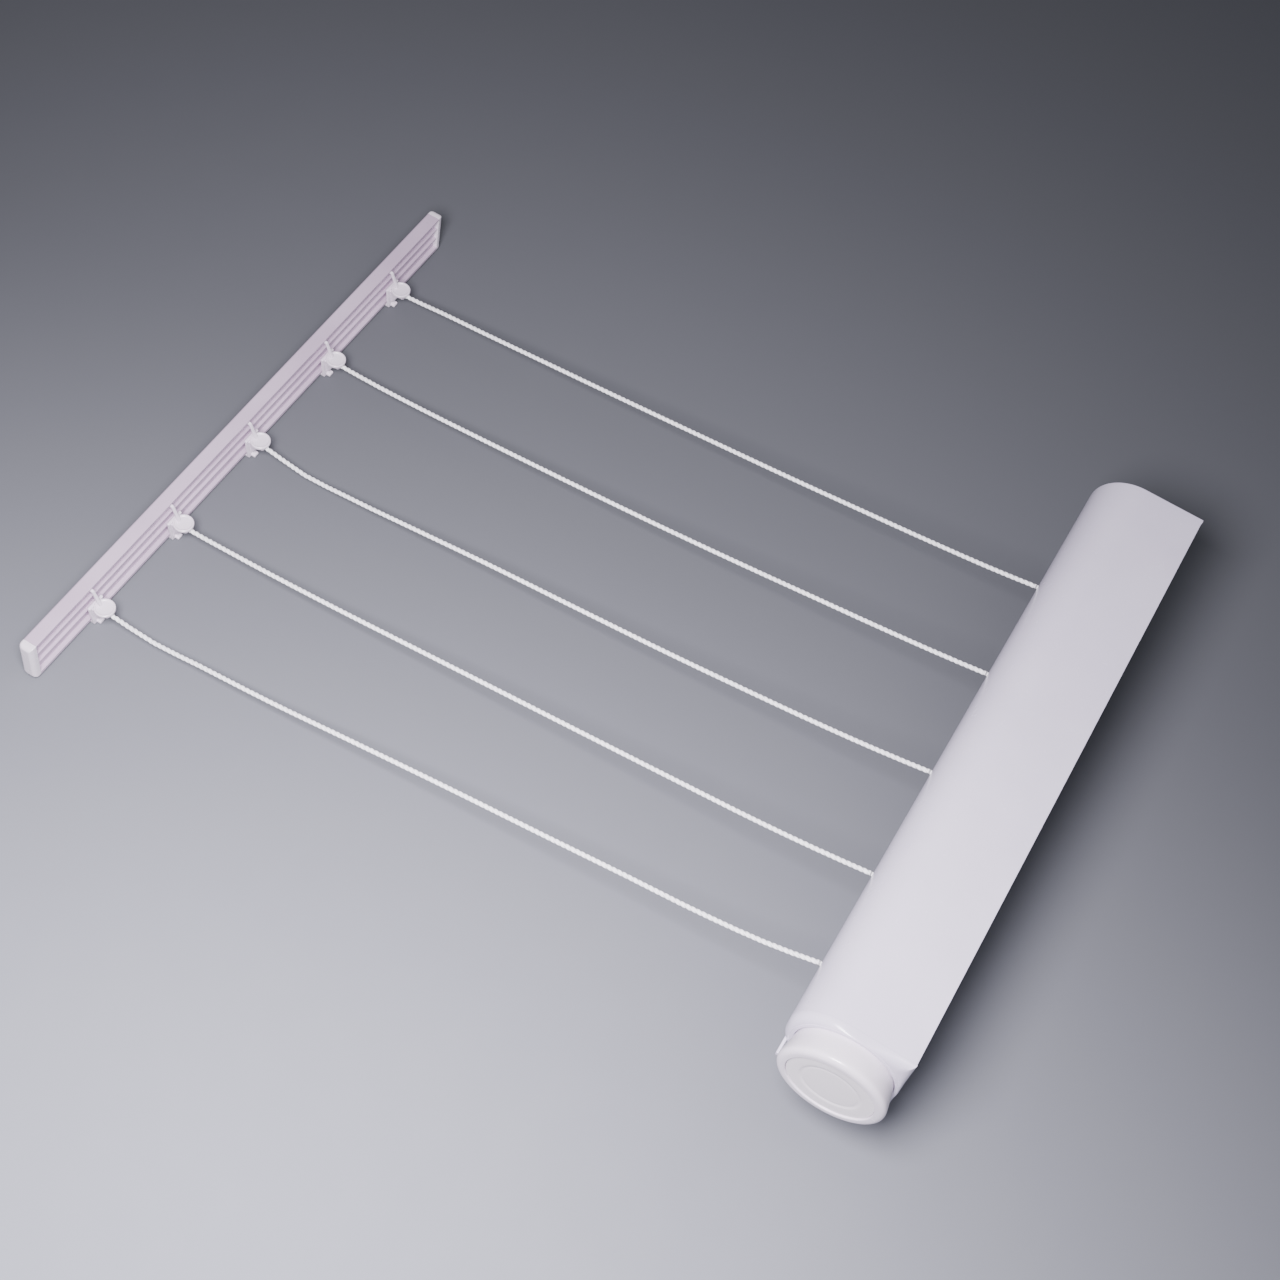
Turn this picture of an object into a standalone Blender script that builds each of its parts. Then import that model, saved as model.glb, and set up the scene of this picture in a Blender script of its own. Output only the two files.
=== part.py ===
"""Retractable five-line wall clothes line: housing, spring reel, knob lock and line bar.

World frame, metres: the wall is the plane Y = 0 and the room lies towards -Y, Z is up,
and X runs along the housing with the lock knob at its +X end. Rest is with the lines out.
"""
import math

import bmesh
import bpy
from mathutils import Matrix, Vector

NAME = "retractable_clothes_line"
GAP = 0.0003              # clearance between neighbouring solids
TAU = 2 * math.pi

# Housing section, seen along X
DEPTH = 0.0576            # wall to front
HALF_HEIGHT = 0.0273
FRONT_RADIUS = 0.0240     # both front corners
WALL = 0.0022
ARC_STEPS = 8
INNER_INSET = WALL + GAP

# Housing along X
FAR_X = -0.1795
NEAR_X = 0.1787           # where the section ends and the collar's shoulder begins
CAP_THICKNESS = 0.0030
CAP_SPIGOT = 0.0080
SHOULDER_LENGTH = 0.0048
SHOULDER_RADIUS = 0.0270
SHOULDER_TURNS = (0, 24, 48, 70, 90)
RING_STEPS = 60
OPENING_X = 0.1790        # the knob's opening is wider than the pocket behind it
BULKHEAD_X = 0.1600
BULKHEAD_THICKNESS = 0.0030
COVER_X0 = FAR_X + CAP_THICKNESS + GAP
COVER_X1 = NEAR_X - GAP
INDEX_TAB = ((NEAR_X + 0.0001, -0.0555, -0.0152), (NEAR_X + 0.0115, -0.0540, -0.0122))

# Back plate, its screws and its two keyholes
PLATE_THICKNESS = 0.0025
PLATE_HALF_HEIGHT = 0.0247
SCREW_X = (FAR_X + CAP_THICKNESS + 0.0040, 0.1662)
SCREW_Z = (0.0190, -0.0190)
SCREW_LENGTH = 0.0096
SCREW_RADIUS = 0.0015
SCREW_HOLE_RADIUS = SCREW_RADIUS + GAP
SCREW_HOLE_END = -0.0105
SCREW_HEAD_RADIUS = 0.0030
SCREW_RECESS_RADIUS = 0.0034
SCREW_RECESS = 0.0016
KEYHOLE_X = (-0.0775, 0.1175)
KEYHOLE_Z = -0.0030
KEYHOLE_RADIUS = 0.0046
KEYHOLE_SLOT_TOP = 0.0060
KEYHOLE_SLOT_HALF = 0.0022

# Reel axis and everything turned about it
AXIS_Y = -0.0274
AXLE_RADIUS = 0.0030
AXLE_X0 = FAR_X + CAP_THICKNESS + GAP
AXLE_X1 = 0.1862
CLIP_X0 = 0.1843
CLIP_X1 = 0.1852
CLIP_RADIUS = 0.0056
RUN_CLEARANCE = 0.00015
POCKET_RADIUS = 0.0238
DRUM_RADIUS = 0.0147
DRUM_BORE = 0.0125
DRUM_X0 = -0.1470
FLANGE_RADIUS = 0.0236
FLANGE_THICKNESS = 0.0016
LOCK_PLATE_X0 = 0.1540
LOCK_PLATE_X1 = 0.1570
LOCK_HOLES = 8
LOCK_CIRCLE = 0.0190
PLUG_LENGTH = 0.0080      # of the arbor and the bush, inside the drum's ends
BOSS_RADIUS = 0.0080
BOSS_LENGTH = 0.0060

# Mainspring
SPRING_CUP_X0 = -0.1760
SPRING_CUP_X1 = -0.1510
SPRING_CUP_RADIUS = 0.0235
SPRING_CUP_WALL = 0.0015
SPRING_LID_THICKNESS = 0.0010
SPRING_TURNS = 5
SPRING_STRIP = 0.0005
SPRING_MARGIN = 0.0008
SPRING_X0 = SPRING_CUP_X0 + 0.0075
SPRING_WIDTH = 0.0140
ARBOR_RADIUS = 0.0065
ARBOR_X0 = SPRING_CUP_X0 + 0.0066

# Knob
KNOB_RADIUS = 0.0270      # at its front
KNOB_NECK = 0.0246        # in the collar's opening
KNOB_INNER = 0.0234       # in the pocket
KNOB_OPENING = 0.0250
KNOB_X0 = 0.1794
KNOB_X1 = 0.1978
KNOB_HUB = 0.0060
KNOB_HUB_X0 = 0.1720
KNOB_HUB_X1 = 0.1840
KNOB_NECK_X = 0.1842
KNOB_WEB_X0 = 0.1738
KNOB_WEB_X1 = 0.1824
KNOB_WEB = 0.0024
KNOB_CAM_INNER = 0.0155
KNOB_FACE_RADIUS = 0.0220
KNOB_LEDGE = 0.0040       # that the face disc sits on, below the rim
KNOB_FACE_SUNK = 0.0008
KNOB_FACE_THICKNESS = 0.0028
LOCK_TURN = math.radians(60)
CAM_DWELL = math.radians(14)
CAM_STEPS = 14
BOLT_TRAVEL = 0.0040
BOLT_RADIUS = 0.0023
BOLT_COLLAR = 0.0036
BOLT_NOSE_X = KNOB_WEB_X0 - 0.0006
BOLT_ANGLE = math.radians(90)
BOLT_SPRING_RADIUS = 0.0031
BOLT_SPRING_WIRE = 0.0005
BOLT_SPRING_TURNS = 3

# Lines
EXIT_X = (-0.1101, -0.0447, 0.0241, 0.0905, 0.1450)
EXIT_Z = -0.0030
HOOK_X = (-0.1126, -0.0474, 0.0239, 0.0917, 0.1567)
LINES = len(EXIT_X)
LINE_DIAMETER = 0.0025
LINE_POINTS = 29
LINE_SPLIT_Y = -DEPTH - 0.0006
LINE_GRIP = 0.0022        # length of line held in a hook's socket
DROP_AT = (0.05, 0.15, 0.25, 0.35, 0.50, 0.65, 0.75, 0.85, 0.95)
LINE_DROPS = (            # how far each line hangs below the straight way to its hook
    (0.0015, 0.0028, 0.0033, 0.0036, 0.0032, 0.0025, 0.0018, 0.0011, 0.0002),
    (0.0016, 0.0036, 0.0048, 0.0060, 0.0068, 0.0062, 0.0055, 0.0045, 0.0022),
    (0.0024, 0.0054, 0.0069, 0.0079, 0.0079, 0.0076, 0.0084, 0.0090, 0.0066),
    (0.0021, 0.0044, 0.0047, 0.0047, 0.0045, 0.0045, 0.0045, 0.0037, 0.0016),
    (0.0048, 0.0083, 0.0078, 0.0079, 0.0077, 0.0086, 0.0095, 0.0082, 0.0062))
LEAD_POINTS = 10
LEAD_AIM_Y = -DEPTH + 0.0034
BOBBIN_WIDTH = 0.0204
BOBBIN_X = EXIT_X[:-1] + (LOCK_PLATE_X0 - BOBBIN_WIDTH / 2,)
WINDING_WIDTH = 0.0196
WINDING_RADIUS = 0.0221
EYELET_HOLE = 0.0053
EYELET_SEAT = 0.0069
EYELET_SEAT_DEPTH = 0.0013
EYELET_STEPS = 18

# Line bar
BAR_X0 = -0.1671
BAR_X1 = 0.2036
BAR_Y = -0.4734           # outer face
BAR_Z = -0.0487           # middle of its height
BAR_DEPTH = 0.0081
BAR_HALF_HEIGHT = 0.0130
BAR_FACE_Y = BAR_Y + BAR_DEPTH
BAR_UPPER_FLANGE = 0.0014
BAR_LOWER_FLANGE = 0.0022
BAR_RECESS = 0.0025
BAR_RIB = 0.0011
BAR_RIB_HEIGHT = 0.0018
BAR_RIBS_Z = (0.0040, -0.0036)
BAR_EDGE = 0.0012
BAR_CAP = 0.0045
BAR_CAP_ROUNDING = 0.0030
BAR_CAP_INSET = 0.0022
BAR_CAP_TURNS = (0, 30, 60, 90)
BAR_PLUG = 0.0080
BAR_WEB = 0.0014
CHAMBER_HALF_HEIGHT = BAR_HALF_HEIGHT - 0.0020

# Line hooks: y from the bar's face towards the wall, z from the bar's middle
HOOK_FOOT = 0.0018
HOOK_FOOT_HALF = 0.0034
HOOK_FOOT_REACH = 0.0030
HOOK_TONGUE_HALF = 0.0018
HOOK_TONGUE_END = 0.0046
HOOK_BOTTOM = -BAR_HALF_HEIGHT - GAP - HOOK_FOOT
HOOK_PLATE_TOP = (0.0055, GAP, 0.0021, 0.0010)              # half width, y, y, z
HOOK_PLATE_BOTTOM = (0.0034, GAP, 0.0021, HOOK_BOTTOM)
HOOK_GUSSET_TOP = (0.0040, 0.0010, 0.0086, -0.0001)
HOOK_GUSSET_BOTTOM = (0.0017, 0.0010, 0.0034, -0.0110)
HOOK_DISC_RADIUS = 0.0056
HOOK_DISC_Y = 0.0071
HOOK_DISC_BOTTOM = -0.0005
HOOK_DISC_TOP = 0.0015
HOOK_BOSS_Z = -0.0022
HOOK_BOSS_RADIUS = 0.0028
HOOK_BOSS_END = 0.0100
HOOK_SOCKET = 0.0025
HOOK_SOCKET_RADIUS = LINE_DIAMETER / 2 + 0.0005
HOOK_STRUT_HALF = 0.0008
HOOK_STRUT = (            # (y, z) from the toe under the bar's upper flange down to the disc
    (-0.0016, 0.0098), (-0.0016, 0.0112), (0.0006, 0.0112), (0.0013, 0.0106),
    (0.0052, 0.0010), (0.0052, -0.0002), (0.0039, -0.0002), (0.0039, 0.0008), (0.0003, 0.0098))
HOOK_ROOT = 0.0010        # depth inside the plate where the joined shapes begin

SHELL_WHITE = (0.80, 0.79, 0.84, 1)
BAR_WHITE = (0.84, 0.79, 0.84, 1)
LINE_WHITE = (0.92, 0.92, 0.93, 1)
REEL_GREY = (0.42, 0.43, 0.45, 1)
STEEL = (0.62, 0.63, 0.65, 1)


# ---- scene and materials ---------------------------------------------------------------
def clear_scene():
    for item in list(bpy.data.objects):
        bpy.data.objects.remove(item, do_unlink=True)


def collection(name):
    group = bpy.data.collections.new(name)
    bpy.context.scene.collection.children.link(group)
    return group


def finish_look(name, colour, roughness, metallic=0.0):
    material = bpy.data.materials.new(name + "_material")
    material.use_nodes = True
    shader = material.node_tree.nodes["Principled BSDF"]
    shader.inputs["Base Color"].default_value = colour
    shader.inputs["Roughness"].default_value = roughness
    shader.inputs["Metallic"].default_value = metallic
    material.diffuse_color = colour
    return material


def add_object(name, data, group, look=None):
    item = bpy.data.objects.new(name, data)
    group.objects.link(item)
    if look is not None:
        data.materials.append(finish_look(name, *look))
    return item


def smooth(mesh, angle=35):
    mesh.shade_smooth()
    mesh.set_sharp_from_angle(angle=math.radians(angle))


# ---- solids ----------------------------------------------------------------------------
def box_mesh(name, low, high):
    mesh = bpy.data.meshes.new(name)
    work = bmesh.new()
    low = Vector(low)
    high = Vector(high)
    size = Matrix.Diagonal((*(high - low), 1))
    bmesh.ops.create_cube(work, size=1, matrix=Matrix.Translation((low + high) / 2) @ size)
    work.to_mesh(mesh)
    work.free()
    return mesh


def cylinder_mesh(name, start, end, radius, sides=24):
    """Cylinder from start to end."""
    start = Vector(start)
    end = Vector(end)
    turn = (end - start).to_track_quat("Z", "Y").to_matrix().to_4x4()
    mesh = bpy.data.meshes.new(name)
    work = bmesh.new()
    bmesh.ops.create_cone(work, cap_ends=True, segments=sides, radius1=radius, radius2=radius,
                          depth=(end - start).length,
                          matrix=Matrix.Translation((start + end) / 2) @ turn)
    work.to_mesh(mesh)
    work.free()
    return mesh


def outline_mesh(name, outline, x0, x1):
    """Filled (y, z) outline extruded along X from x0 to x1."""
    flat = bpy.data.curves.new(name, "CURVE")
    flat.dimensions = "2D"
    flat.fill_mode = "BOTH"
    flat.extrude = (x1 - x0) / 2
    spline = flat.splines.new("POLY")
    spline.points.add(len(outline) - 1)
    for point, (y, z) in zip(spline.points, outline):
        point.co = (y, z, 0, 1)
    spline.use_cyclic_u = True
    holder = bpy.data.objects.new(name, flat)
    bpy.context.scene.collection.objects.link(holder)
    bpy.context.view_layer.update()
    mesh = bpy.data.meshes.new_from_object(holder.evaluated_get(bpy.context.evaluated_depsgraph_get()))
    bpy.data.objects.remove(holder)
    bpy.data.curves.remove(flat)
    along_x = Matrix(((0, 0, 1, (x0 + x1) / 2), (1, 0, 0, 0), (0, 1, 0, 0), (0, 0, 0, 1)))
    mesh.transform(along_x)
    work = bmesh.new()
    work.from_mesh(mesh)
    bmesh.ops.remove_doubles(work, verts=work.verts, dist=1e-6)
    bmesh.ops.recalc_face_normals(work, faces=work.faces)
    work.to_mesh(mesh)
    work.free()
    return mesh


def loft_mesh(name, rings):
    """Closed skin through rings of as many points each, filled at both ends."""
    work = bmesh.new()
    rows = [[work.verts.new(point) for point in ring_points] for ring_points in rings]
    for before, after in zip(rows, rows[1:]):
        for step in range(len(before)):
            nxt = (step + 1) % len(before)
            work.faces.new((before[step], before[nxt], after[nxt], after[step]))
    work.faces.new(rows[0])
    work.faces.new(rows[-1])
    bmesh.ops.recalc_face_normals(work, faces=work.faces)
    mesh = bpy.data.meshes.new(name)
    work.to_mesh(mesh)
    work.free()
    return mesh


def cutter(name, mesh, cutters):
    tool = add_object(name, mesh, cutters)
    tool.hide_render = True
    tool.display_type = "WIRE"
    return tool


def boolean(item, tool, operation):
    step = item.modifiers.new(tool.name, "BOOLEAN")
    step.operation = operation
    step.solver = "EXACT"
    step.object = tool


def cut(item, mesh, cutters):
    boolean(item, cutter(f"{item.name}_cut_{len(item.modifiers)}", mesh, cutters), "DIFFERENCE")


def join(item, mesh, cutters):
    boolean(item, cutter(f"{item.name}_add_{len(item.modifiers)}", mesh, cutters), "UNION")


def turned(name, profile, group, look, closed=True, steps=32, axis="X", place=None):
    """Turn a (radius, height) profile; height runs along +X, or along -Y for axis "Y".

    The profile runs down its outer side, from the greatest height to the least.
    """
    mesh = bpy.data.meshes.new(name)
    points = [(radius, 0, height) for radius, height in profile]
    edges = [(index, index + 1) for index in range(len(points) - 1)]
    if closed:
        edges.append((len(points) - 1, 0))
    mesh.from_pydata(points, edges, [])
    item = add_object(name, mesh, group, look)
    item.location = place or (0, AXIS_Y, 0)
    item.rotation_euler = (0, math.pi / 2, 0) if axis == "X" else (math.pi / 2, 0, 0)
    screw = item.modifiers.new("turn", "SCREW")
    screw.axis = "Z"
    screw.angle = TAU
    screw.steps = steps
    screw.render_steps = steps
    screw.use_merge_vertices = True
    screw.merge_threshold = 1e-6
    screw.use_smooth_shade = True
    return item


def applied(item, group, look):
    """Replace an object by its evaluated mesh in world space."""
    bpy.context.view_layer.update()
    mesh = bpy.data.meshes.new_from_object(item.evaluated_get(bpy.context.evaluated_depsgraph_get()))
    mesh.transform(item.matrix_world)
    mesh.materials.clear()
    name = item.name
    bpy.data.objects.remove(item)
    smooth(mesh)
    return add_object(name, mesh, group, look)


def tube(name, route, diameter, group, look):
    """Round cord or wire with filled ends along a list of points."""
    path = bpy.data.curves.new(name, "CURVE")
    path.dimensions = "3D"
    path.bevel_depth = diameter / 2
    path.bevel_resolution = 2
    path.use_fill_caps = True
    spline = path.splines.new("POLY")
    spline.points.add(len(route) - 1)
    for point, place in zip(spline.points, route):
        point.co = (*place, 1)
    return add_object(name, path, group, look)


def bevel(item, width, segments=2, angle=50):
    step = item.modifiers.new("edges", "BEVEL")
    step.width = width
    step.segments = segments
    step.limit_method = "ANGLE"
    step.angle_limit = math.radians(angle)


# ---- housing section -------------------------------------------------------------------
def section_outline(inset=0.0, back_y=0.0):
    """Closed (y, z) outline of the housing, from the top of its back round the front."""
    centre_y = FRONT_RADIUS - DEPTH
    centre_z = HALF_HEIGHT - FRONT_RADIUS
    radius = FRONT_RADIUS - inset
    upper = [(back_y, HALF_HEIGHT - inset)]
    for step in range(ARC_STEPS + 1):
        angle = math.pi / 2 * (1 + step / ARC_STEPS)
        upper.append((centre_y + radius * math.cos(angle), centre_z + radius * math.sin(angle)))
    return upper + [(y, -z) for y, z in reversed(upper)]


def on_axis(angle, radius):
    """(y, z) at an angle about the reel axis, measured from +Y towards +Z."""
    return AXIS_Y + radius * math.cos(angle), radius * math.sin(angle)


def screw_places():
    return [(x, z) for x in SCREW_X for z in SCREW_Z]


def bore_y(x, z, y0, y1, radius, sides=16):
    """Cylinder along Y, to cut holes from the wall side or the front."""
    return cylinder_mesh("bore", (x, y0, z), (x, y1, z), radius, sides)


def bore_x(x0, x1, radius, y=AXIS_Y, z=0, sides=32):
    """Cylinder along X, on the reel axis unless y and z say otherwise."""
    return cylinder_mesh("bore", (x0, y, z), (x1, y, z), radius, sides)


def make_back_plate(parts, cutters):
    """Flat plate on the wall, with two keyholes and four countersunk screw holes."""
    plate = add_object("back_plate", box_mesh("back_plate",
                       (COVER_X0, -PLATE_THICKNESS, -PLATE_HALF_HEIGHT),
                       (COVER_X1, 0, PLATE_HALF_HEIGHT)), parts, (SHELL_WHITE, 0.5))
    outside = 0.001
    inside = -PLATE_THICKNESS - outside
    for x in KEYHOLE_X:
        cut(plate, bore_y(x, KEYHOLE_Z, outside, inside, KEYHOLE_RADIUS, 18), cutters)
        cut(plate, box_mesh("keyhole_slot", (x - KEYHOLE_SLOT_HALF, inside, KEYHOLE_Z),
                            (x + KEYHOLE_SLOT_HALF, outside, KEYHOLE_SLOT_TOP)), cutters)
    for x, z in screw_places():
        cut(plate, bore_y(x, z, outside, inside, SCREW_HOLE_RADIUS), cutters)
        cut(plate, bore_y(x, z, outside, -SCREW_RECESS, SCREW_RECESS_RADIUS, 18), cutters)


def make_plate_screws(parts):
    """Pan-head screws from the wall side, through the plate into both end pieces."""
    profile = [(0, SCREW_LENGTH), (SCREW_RADIUS - 0.0004, SCREW_LENGTH),
               (SCREW_RADIUS, SCREW_LENGTH - 0.0008), (SCREW_RADIUS, 0.0013),
               (SCREW_HEAD_RADIUS, 0.0013), (SCREW_HEAD_RADIUS, 0.0006),
               (SCREW_HEAD_RADIUS - 0.0006, 0), (0, 0)]
    names = ("far_upper", "far_lower", "near_upper", "near_lower")
    for name, (x, z) in zip(names, screw_places()):
        turned("plate_screw_" + name, profile, parts, (STEEL, 0.35, 1.0), closed=False,
               steps=16, axis="Y", place=(x, -GAP, z))


def make_front_cover(parts, cutters):
    """Open shell round the reel, with one round hole for each line."""
    outline = section_outline(back_y=-GAP)
    mesh = bpy.data.meshes.new("front_cover")
    count = len(outline)
    rows = [(x, y, z) for x in (COVER_X0, COVER_X1) for y, z in outline]
    faces = [(step, step + 1, count + step + 1, count + step) for step in range(count - 1)]
    mesh.from_pydata(rows, [], faces)
    cover = add_object("front_cover", mesh, parts, (SHELL_WHITE, 0.45))
    shell = cover.modifiers.new("wall", "SOLIDIFY")
    shell.thickness = WALL
    shell.offset = -1
    shell.use_even_offset = True
    outside = -DEPTH - 0.004
    for x in EXIT_X:
        cut(cover, bore_y(x, EXIT_Z, outside, -DEPTH + 0.008, EYELET_HOLE, 18), cutters)
        cut(cover, bore_y(x, EXIT_Z, outside, -DEPTH + EYELET_SEAT_DEPTH, EYELET_SEAT, 18), cutters)


def make_end_cap_far(parts, cutters):
    """Closed end piece: outer wall, spigot in the cover, axle boss and spring pocket."""
    inner_x = FAR_X + CAP_THICKNESS
    cap = add_object("end_cap_far", outline_mesh("end_cap_far", section_outline(), FAR_X, inner_x),
                     parts, (SHELL_WHITE, 0.45))
    bevel(cap, 0.0008)
    spigot = section_outline(INNER_INSET, -PLATE_THICKNESS - GAP)
    join(cap, outline_mesh("spigot", spigot, inner_x - 0.0005, inner_x + CAP_SPIGOT), cutters)
    cut(cap, bore_x(inner_x, inner_x + 2 * CAP_SPIGOT, POCKET_RADIUS, sides=40), cutters)
    join(cap, bore_x(inner_x - 0.001, inner_x + BOSS_LENGTH, BOSS_RADIUS), cutters)
    cut(cap, bore_x(inner_x, inner_x + 2 * BOSS_LENGTH, AXLE_RADIUS + RUN_CLEARANCE), cutters)
    for z in SCREW_Z:
        cut(cap, bore_y(SCREW_X[0], z, 0.001, SCREW_HOLE_END, SCREW_HOLE_RADIUS), cutters)


def section_radius(angle):
    """Distance from the reel axis to the housing section in a direction about the axis."""
    outline = section_outline()
    ray = Vector((math.cos(angle), math.sin(angle)))
    best = 0
    for start, end in zip(outline, outline[1:] + outline[:1]):
        start = Vector((start[0] - AXIS_Y, start[1]))
        side = Vector((end[0] - AXIS_Y, end[1])) - start
        span = ray.x * side.y - ray.y * side.x
        if abs(span) < 1e-12:
            continue
        share = (start.y * ray.x - start.x * ray.y) / -span
        reach = (start.x * side.y - start.y * side.x) / span
        if -1e-9 <= share <= 1 + 1e-9:
            best = max(best, reach)
    return best


def shoulder_mesh():
    """Loft from the housing section at NEAR_X to a round rim, with a convex shoulder."""
    corner = math.atan2(HALF_HEIGHT, -AXIS_Y)
    angles = [TAU * step / RING_STEPS for step in range(RING_STEPS)]
    for exact in (corner, TAU - corner):
        nearest = min(range(RING_STEPS), key=lambda place: abs(angles[place] - exact))
        angles[nearest] = exact
    rings = []
    for turn in SHOULDER_TURNS:
        share = math.cos(math.radians(turn))
        x = NEAR_X + SHOULDER_LENGTH * math.sin(math.radians(turn))
        ring_points = []
        for angle in angles:
            radius = SHOULDER_RADIUS + (section_radius(angle) - SHOULDER_RADIUS) * share
            ring_points.append((x, *on_axis(angle, radius)))
        rings.append(ring_points)
    return loft_mesh("end_collar", rings)


def make_end_collar(parts, cutters):
    """Near end piece: a rounded rim round the knob, and the bulkhead for axle and bolt."""
    collar = add_object("end_collar", shoulder_mesh(), parts, (SHELL_WHITE, 0.40))
    spigot = section_outline(INNER_INSET, -PLATE_THICKNESS - GAP)
    join(collar, outline_mesh("spigot", spigot, BULKHEAD_X, NEAR_X + 0.0006), cutters)
    outside = NEAR_X + 2 * SHOULDER_LENGTH
    before = BULKHEAD_X - 0.01
    bolt_y, bolt_z = on_axis(BOLT_ANGLE, LOCK_CIRCLE)
    cut(collar, bore_x(OPENING_X, outside, KNOB_OPENING, sides=48), cutters)
    cut(collar, bore_x(BULKHEAD_X + BULKHEAD_THICKNESS, outside, POCKET_RADIUS, sides=40), cutters)
    cut(collar, bore_x(before, outside, AXLE_RADIUS + RUN_CLEARANCE), cutters)
    cut(collar, bore_x(before, outside, BOLT_RADIUS + RUN_CLEARANCE, bolt_y, bolt_z, 24), cutters)
    for z in SCREW_Z:
        cut(collar, bore_y(SCREW_X[1], z, 0.001, SCREW_HOLE_END, SCREW_HOLE_RADIUS), cutters)
    join(collar, box_mesh("index_tab", *INDEX_TAB), cutters)


def make_eyelets(parts):
    """Grommets flush in the cover's line holes, height measured out from its front face."""
    profile = [(0.0042, -0.0001), (0.0062, -0.0001), (0.0066, -0.0005), (0.0066, -0.0010),
               (0.0050, -0.0010), (0.0050, -0.0030), (0.0044, -0.0030), (0.0034, -0.0018),
               (0.0034, -0.0008)]
    for index, x in enumerate(EXIT_X):
        turned(f"line_eyelet_{index + 1}", profile, parts, (BAR_WHITE, 0.35),
               steps=EYELET_STEPS, axis="Y", place=(x, -DEPTH, EXIT_Z))


def make_axle(parts):
    """Steel axle through the reel and knob, with a snap ring on its knob end."""
    tip = AXLE_RADIUS - 0.0005
    profile = [(0, AXLE_X1), (tip, AXLE_X1), (AXLE_RADIUS, AXLE_X1 - 0.0005),
               (AXLE_RADIUS, AXLE_X0 + 0.0005), (tip, AXLE_X0), (0, AXLE_X0)]
    turned("axle", profile, parts, (STEEL, 0.25, 1.0), closed=False)
    clip = ring(AXLE_RADIUS + RUN_CLEARANCE, CLIP_RADIUS, CLIP_X0, CLIP_X1)
    turned("axle_clip", clip, parts, (STEEL, 0.30, 1.0), steps=24)


def ring(inner, outer, x0, x1):
    """Square ring profile, down its outer side first."""
    return [(outer, x1), (outer, x0), (inner, x0), (inner, x1)]


def make_spring_cup(parts):
    """Fixed cup round the mainspring, and its lid."""
    wall = SPRING_CUP_WALL
    bore = BOSS_RADIUS + GAP
    cup = [(SPRING_CUP_RADIUS, SPRING_CUP_X1), (SPRING_CUP_RADIUS, SPRING_CUP_X0),
           (bore, SPRING_CUP_X0), (bore, SPRING_CUP_X0 + wall),
           (SPRING_CUP_RADIUS - wall, SPRING_CUP_X0 + wall),
           (SPRING_CUP_RADIUS - wall, SPRING_CUP_X1)]
    turned("spring_cup", cup, parts, (REEL_GREY, 0.5))
    lid_x = SPRING_CUP_X1 + GAP
    lid = ring(ARBOR_RADIUS + 0.0005, SPRING_CUP_RADIUS, lid_x, lid_x + SPRING_LID_THICKNESS)
    turned("spring_cup_lid", lid, parts, (REEL_GREY, 0.5))


def make_mainspring(parts):
    """Spiral steel strip between the arbor and the cup."""
    inner = ARBOR_RADIUS + SPRING_MARGIN
    outer = SPRING_CUP_RADIUS - SPRING_CUP_WALL - SPRING_MARGIN
    steps = SPRING_TURNS * 16
    rows = []
    for x in (SPRING_X0, SPRING_X0 + SPRING_WIDTH):
        for step in range(steps + 1):
            share = step / steps
            rows.append((x, *on_axis(TAU * SPRING_TURNS * share, inner + (outer - inner) * share)))
    faces = [(step, step + 1, steps + step + 2, steps + step + 1) for step in range(steps)]
    mesh = bpy.data.meshes.new("mainspring")
    mesh.from_pydata(rows, [], faces)
    strip = add_object("mainspring", mesh, parts, (STEEL, 0.30, 1.0))
    solid = strip.modifiers.new("strip", "SOLIDIFY")
    solid.thickness = SPRING_STRIP
    solid.offset = 0


# ---- reel ------------------------------------------------------------------------------
def make_reel(parts, cutters):
    """Hollow drum with a pair of flanges for each line; its last flange takes the lock bolt."""
    flanges = [middle - BOBBIN_WIDTH / 2 - FLANGE_THICKNESS for middle in BOBBIN_X]
    flanges += [middle + BOBBIN_WIDTH / 2 for middle in BOBBIN_X[:-1]]
    profile = [(DRUM_RADIUS, DRUM_X0)]
    for start in sorted(flanges):
        end = start + FLANGE_THICKNESS
        profile += [(DRUM_RADIUS, start), (FLANGE_RADIUS, start),
                    (FLANGE_RADIUS, end), (DRUM_RADIUS, end)]
    profile += [(DRUM_RADIUS, LOCK_PLATE_X0), (FLANGE_RADIUS, LOCK_PLATE_X0),
                (FLANGE_RADIUS, LOCK_PLATE_X1), (DRUM_BORE, LOCK_PLATE_X1), (DRUM_BORE, DRUM_X0)]
    reel = turned("reel_drum", list(reversed(profile)), parts, (REEL_GREY, 0.5), steps=24)
    reel = applied(reel, parts, (REEL_GREY, 0.5))
    set_origin(reel)
    for step in range(LOCK_HOLES):
        y, z = on_axis(BOLT_ANGLE + TAU * step / LOCK_HOLES, LOCK_CIRCLE)
        hole = bore_x(LOCK_PLATE_X0 - 0.0005, LOCK_PLATE_X1 + 0.002, BOLT_RADIUS + 0.0006, y, z, 10)
        cut(reel, hole, cutters)


def set_origin(item):
    """Move an object's origin on to the reel axis without moving its shape."""
    place = Matrix.Translation((0, AXIS_Y, 0))
    item.data.transform(place.inverted())
    item.matrix_world = place
    bpy.context.view_layer.update()


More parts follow.
